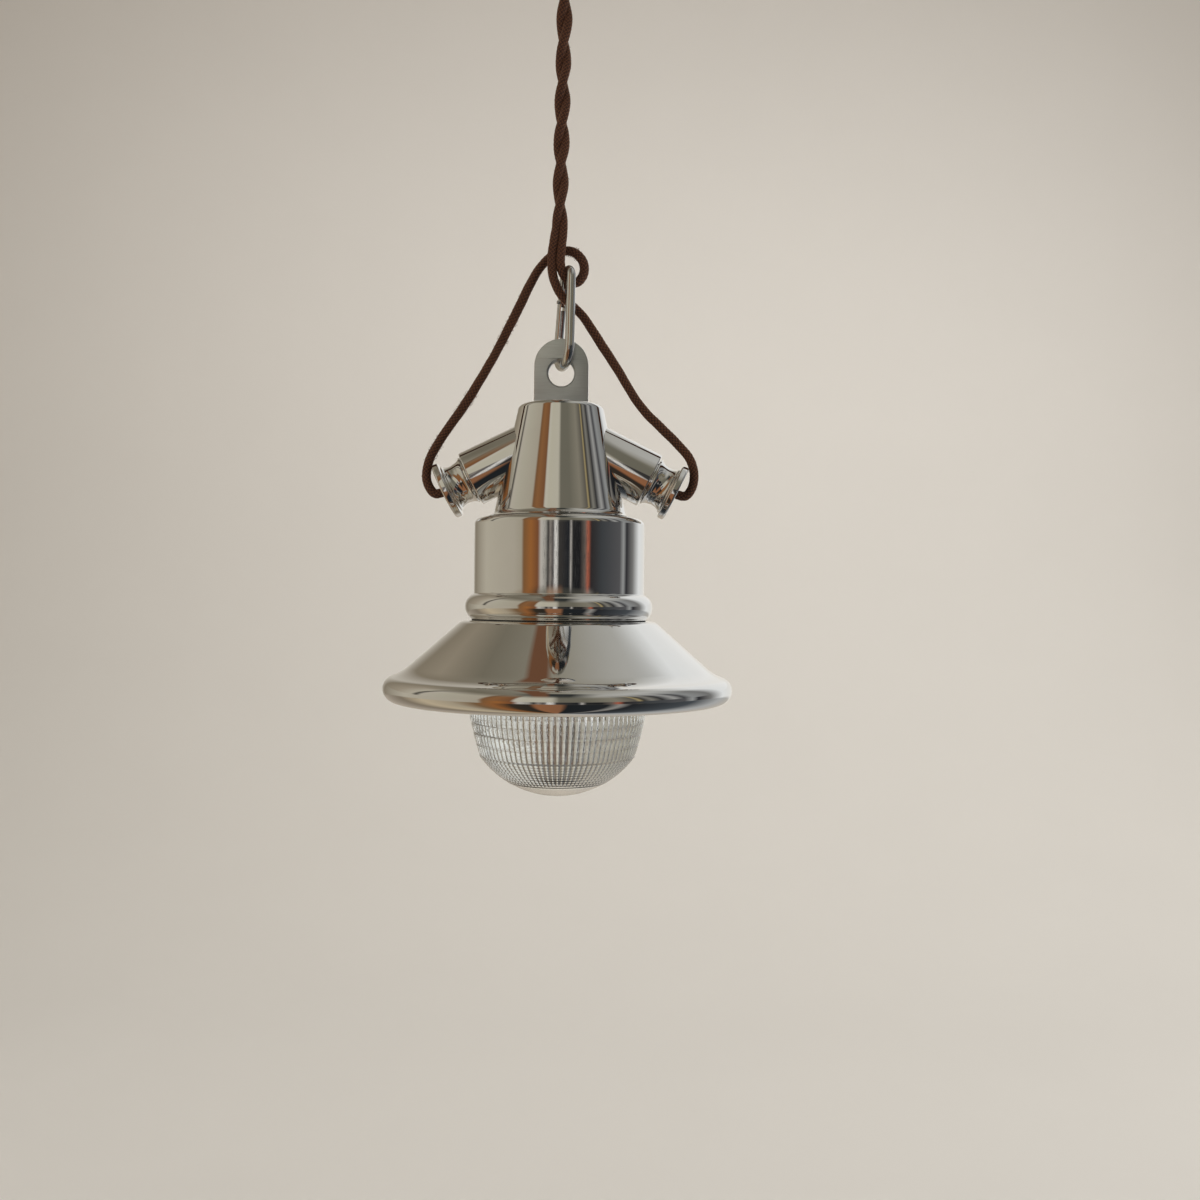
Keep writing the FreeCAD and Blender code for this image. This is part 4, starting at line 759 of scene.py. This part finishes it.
def bulb_envelope():
    """Thin round bulb glass."""
    globe, neck, wall = 22.5, 11.6, 0.8
    low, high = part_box("bulb_glass")
    centre = (low[2] - APEX) / MM + globe
    top = (high[2] - APEX) / MM
    reach = math.sqrt(globe**2 - neck**2)
    thin = globe - wall
    thin_reach = math.sqrt(thin**2 - (neck - wall) ** 2)
    envelope = lathe("bulb_envelope", outline([
        (0, centre - globe, globe), (globe, centre, globe), (neck, centre + reach), (neck, top),
        (neck - wall, top), (neck - wall, centre + thin_reach, -thin), (thin, centre, -thin),
        (0, centre - thin)]), segments=96)
    stand_in(envelope, "bulb_glass", BULB_GLASS, "bulb")


bulb_envelope()


# ---------------------------------------------------------------- CAD pieces that keep their shape

KEPT = {
    HOOK_CHROME: ["snap_hook", "hook_gate", "gate_hinge_pin", "gate_latch_pin"],
    FIXING_STEEL: ["ceiling_bracket", "cup_side_screws", "cord_grip_nut", "lug_washer", "lug_nut",
                   "cone_screws", "lampholder_bracket", "lampholder_screws", "gallery_screws",
                   "gland_washer_left", "gland_washer_right", "terminal_screws"],
    GALLERY_CAST: ["gallery_ring"],
    RUBBER: ["gland_seal_left", "gland_seal_right", "cone_gasket", "shade_gasket", "lens_gasket"],
    PORCELAIN: ["lampholder_base", "bulb_insulator"],
    BRASS: ["lampholder_shell", "lampholder_contact", "bulb_contact"],
    NICKEL: ["bulb_cap"],
    SLEEVE: ["flex_tails", "inner_lead_left", "inner_lead_right"],
    TERMINAL: ["terminal_block"],
    PHOSPHOR: ["bulb_filaments"],
    BULB_GLASS: ["bulb_stem"],
}
for material, names in KEPT.items():
    for name in names:
        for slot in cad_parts[name].material_slots:
            slot.material = material


# ---------------------------------------------------------------- stage, light and camera

def stage():
    """A plain pale floor that curves up into a plain pale backdrop."""
    floor = row((0, 0, -430))[2]
    width, front, back, bend, top = 4.0, -3.0, 1.7, 0.9, 3.2
    line = [(front, floor)]
    for k in range(25):
        angle = math.radians(90 * k / 24)
        line.append((back - bend + bend * math.sin(angle), floor + bend - bend * math.cos(angle)))
    line.append((back, floor + top))
    verts = [(x, y, z) for y, z in line for x in (-width, width)]
    faces = [(2 * i, 2 * i + 1, 2 * i + 3, 2 * i + 2) for i in range(len(line) - 1)]
    data = bpy.data.meshes.new("stage_sweep")
    data.from_pydata(verts, [], faces)
    sweep = finish_mesh("stage_sweep", data, 80)
    material, tree, shader = new_material("stage_paper", (0.80, 0.785, 0.76), 0.9)
    paper = noise(tree, object_coords(tree), 6.0, 3.0)
    tint = blend_colors(tree, paper, (0.79, 0.775, 0.75), (0.81, 0.795, 0.77))
    tree.links.new(tint, shader.inputs["Base Color"])
    dress(sweep, material)
    sweep.visible_glossy = False
    sweep.visible_transmission = False


# What the room round the lantern looks like to a mirror, by bearing from the camera's side in degrees towards
# +X: each colour is reached at its bearing and runs on to the next.
WALLS = [
    (-180, (0.80, 0.76, 0.68)), (-150, (0.24, 0.205, 0.15)), (-125, (0.36, 0.31, 0.235)),
    (-106, (0.50, 0.46, 0.37)), (-101, (0.04, 0.035, 0.03)), (-96, (0.50, 0.46, 0.38)),
    (-82, (0.47, 0.44, 0.35)), (-50, (0.42, 0.38, 0.30)), (-47, (0.20, 0.10, 0.045)),
    (-40, (0.27, 0.125, 0.05)), (-28, (0.20, 0.09, 0.04)), (-25, (0.56, 0.53, 0.44)),
    (-18, (0.52, 0.49, 0.39)), (-2, (0.52, 0.49, 0.40)), (3, (0.165, 0.155, 0.12)),
    (20, (0.165, 0.155, 0.12)), (40, (0.25, 0.23, 0.18)), (52, (0.12, 0.11, 0.09)),
    (55, (0.40, 0.32, 0.16)), (58, (0.03, 0.03, 0.03)), (64, (0.24, 0.23, 0.20)),
    (72, (0.03, 0.03, 0.032)), (82, (0.38, 0.38, 0.37)), (90, (0.06, 0.06, 0.065)),
    (98, (0.30, 0.31, 0.31)), (118, (0.20, 0.20, 0.195)), (136, (0.85, 0.87, 0.87)),
    (162, (0.90, 0.90, 0.88)), (180, (0.80, 0.76, 0.68)),
]
# The same room seen level: furniture stands in front of the far wall.
FURNITURE = [
    (-180, (0.80, 0.76, 0.68)), (-150, (0.24, 0.205, 0.15)), (-112, (0.50, 0.46, 0.37)),
    (-60, (0.45, 0.41, 0.33)), (-49, (0.40, 0.36, 0.28)), (-46, (0.22, 0.11, 0.045)),
    (-36, (0.34, 0.135, 0.04)), (-26, (0.20, 0.08, 0.035)), (-22, (0.56, 0.53, 0.48)),
    (-16, (0.42, 0.40, 0.36)), (-13, (0.015, 0.015, 0.015)), (-10, (0.30, 0.27, 0.24)),
    (-6, (0.06, 0.05, 0.05)), (-4, (0.80, 0.78, 0.74)), (-1, (0.70, 0.68, 0.64)),
    (1, (0.05, 0.045, 0.04)), (15, (0.012, 0.015, 0.02)), (17, (0.55, 0.52, 0.48)),
    (19, (0.02, 0.02, 0.02)), (29, (0.012, 0.012, 0.014)), (36, (0.16, 0.13, 0.11)),
    (40, (0.50, 0.14, 0.08)), (44, (0.03, 0.025, 0.025)), (60, (0.055, 0.06, 0.065)),
    (90, (0.10, 0.10, 0.105)), (97, (0.34, 0.35, 0.35)), (103, (0.025, 0.025, 0.03)),
    (118, (0.22, 0.22, 0.215)), (136, (0.85, 0.87, 0.87)), (180, (0.80, 0.76, 0.68)),
]
GROUND = [
    (-180, (0.52, 0.46, 0.38)), (-120, (0.24, 0.20, 0.15)), (-95, (0.55, 0.46, 0.32)),
    (-70, (0.42, 0.36, 0.26)), (-52, (0.20, 0.12, 0.06)), (-40, (0.30, 0.12, 0.04)),
    (-28, (0.04, 0.03, 0.02)), (-16, (0.03, 0.025, 0.02)), (-12, (0.30, 0.13, 0.06)),
    (4, (0.26, 0.12, 0.06)), (8, (0.015, 0.018, 0.02)), (34, (0.02, 0.022, 0.025)),
    (42, (0.30, 0.29, 0.27)), (50, (0.02, 0.022, 0.025)), (100, (0.07, 0.08, 0.09)),
    (135, (0.45, 0.46, 0.46)), (180, (0.52, 0.46, 0.38)),
]


def by_bearing(tree, part, stops):
    """A colour looked up by bearing."""
    ramp = node(tree, "ShaderNodeValToRGB", {"Fac": part})
    bands = ramp.color_ramp
    bands.elements.remove(bands.elements[0])
    bands.elements[0].position = 0
    bands.elements[0].color = (*stops[0][1], 1)
    for degrees, color in stops[1:]:
        bands.elements.new((degrees + 180) / 360).color = (*color, 1)
    return ramp.outputs["Color"]


def mixed(tree, factor, first, second):
    """Two colours, sockets or constants, mixed by a factor socket."""
    mix = node(tree, "ShaderNodeMix", data_type="RGBA")
    tree.links.new(factor, mix.inputs["Factor"])
    for socket, color in (("A", first), ("B", second)):
        if isinstance(color, bpy.types.NodeSocket):
            tree.links.new(color, mix.inputs[socket])
        else:
            mix.inputs[socket].default_value = (*color, 1)
    return mix.outputs["Result"]


def math_node(tree, operation, first, second):
    """One sum, product or other operation on two values."""
    return node(tree, "ShaderNodeMath", {0: first, 1: second}, operation=operation).outputs[0]


def room():
    """A soft room for light and reflections. Straight views of it are plain and pale."""
    world = bpy.data.worlds.new("room")
    bpy.context.scene.world = world
    world.use_nodes = True
    tree = world.node_tree
    tree.nodes.clear()
    coords = node(tree, "ShaderNodeTexCoord").outputs["Generated"]
    split = node(tree, "ShaderNodeSeparateXYZ", {"Vector": coords})
    across, height = split.outputs["X"], split.outputs["Z"]
    ahead = math_node(tree, "MULTIPLY", split.outputs["Y"], -1.0)
    part = spread(tree, math_node(tree, "ARCTAN2", across, ahead), 0.0, 1.0, -math.pi, math.pi)
    sky = mixed(tree, spread(tree, across, 0.0, 1.0, -0.55, 0.0), (0.165, 0.145, 0.105), (0.29, 0.27, 0.215))
    sky = mixed(tree, spread(tree, across, 0.0, 1.0, 0.0, 0.5), sky, (0.50, 0.50, 0.475))
    beam = math_node(tree, "MULTIPLY", spread(tree, ahead, 0.0, 1.0, 0.14, 0.24),
                     spread(tree, math_node(tree, "ABSOLUTE", across, 0.0), 1.0, 0.0, 0.12, 0.34))
    sky = mixed(tree, beam, sky, (0.035, 0.038, 0.036))
    post = math_node(tree, "ABSOLUTE", math_node(tree, "ADD", across, 0.13), 0.0)
    post = math_node(tree, "MULTIPLY", spread(tree, post, 1.0, 0.0, 0.05, 0.09),
                     spread(tree, ahead, 0.0, 1.0, -0.45, -0.3))
    sky = mixed(tree, post, sky, (0.16, 0.075, 0.04))
    walls = mixed(tree, spread(tree, height, 0.0, 1.0, 0.62, 0.86), by_bearing(tree, part, WALLS), sky)
    tilt = math_node(tree, "ADD", height, 0.02)
    level = spread(tree, math_node(tree, "ABSOLUTE", tilt, 0.0), 1.0, 0.0, 0.13, 0.17)
    patchy = node(tree, "ShaderNodeCombineXYZ", {"X": math_node(tree, "MULTIPLY", part, 60.0), "Y": height})
    speckle = noise(tree, patchy.outputs[0], 16.0, 3.0, 0.7)
    stands = by_bearing(tree, part, FURNITURE)
    stands = mixed(tree, spread(tree, speckle, 0.0, 0.75, 0.52, 0.60), stands, (0.05, 0.05, 0.05))
    calm = mixed(tree, spread(tree, math_node(tree, "ABSOLUTE", math_node(tree, "SUBTRACT", part, 0.54), 0.0),
                              1.0, 0.0, 0.09, 0.10), by_bearing(tree, part, FURNITURE), stands)
    walls = mixed(tree, level, walls, calm)
    below = spread(tree, height, 1.0, 0.0, -0.20, -0.14)
    seen = mixed(tree, below, walls, by_bearing(tree, part, GROUND))
    straight = node(tree, "ShaderNodeLightPath").outputs["Is Camera Ray"]
    seen = mixed(tree, straight, seen, (0.80, 0.78, 0.75))
    light = node(tree, "ShaderNodeBackground", {"Color": seen, "Strength": 1.0})
    node(tree, "ShaderNodeOutputWorld", {"Surface": light.outputs[0]})


def softbox(name, place, aim, size, power, color):
    """A large soft light, aimed at a point."""
    light = bpy.data.lights.new(name, "AREA")
    light.shape = "RECTANGLE"
    light.size, light.size_y = size
    light.energy = power
    light.color = color
    obj = bpy.data.objects.new(name, light)
    obj.location = place
    obj.rotation_euler = (Vector(aim) - Vector(place)).to_track_quat("-Z", "Y").to_euler()
    obj.visible_glossy = False
    bpy.context.scene.collection.objects.link(obj)


def camera():
    """The camera, level with the lantern's shoulder and a little to its right."""
    data = bpy.data.cameras.new("camera")
    data.lens = 32.4
    data.sensor_width = 36
    data.clip_start = 0.01
    obj = bpy.data.objects.new("camera", data)
    obj.location = row((19, -501, 90.4))
    obj.rotation_euler = (math.radians(90), math.radians(-0.6), 0)
    bpy.context.scene.collection.objects.link(obj)
    bpy.context.scene.camera = obj


stage()
room()
middle = row((0, 0, 120))
softbox("window_light", row((1500, 100, 350)), row((0, 550, 100)), (1.6, 1.8), 14, (1.0, 0.99, 0.97))
softbox("room_light", row((-1200, -900, 700)), middle, (1.2, 1.2), 7, (1.0, 0.96, 0.90))
softbox("backdrop_light", row((0, 300, 900)), row((0, 1700, 0)), (2.0, 0.6), 8, (1.0, 0.98, 0.95))
camera()
bpy.context.scene.view_settings.view_transform = "Standard"
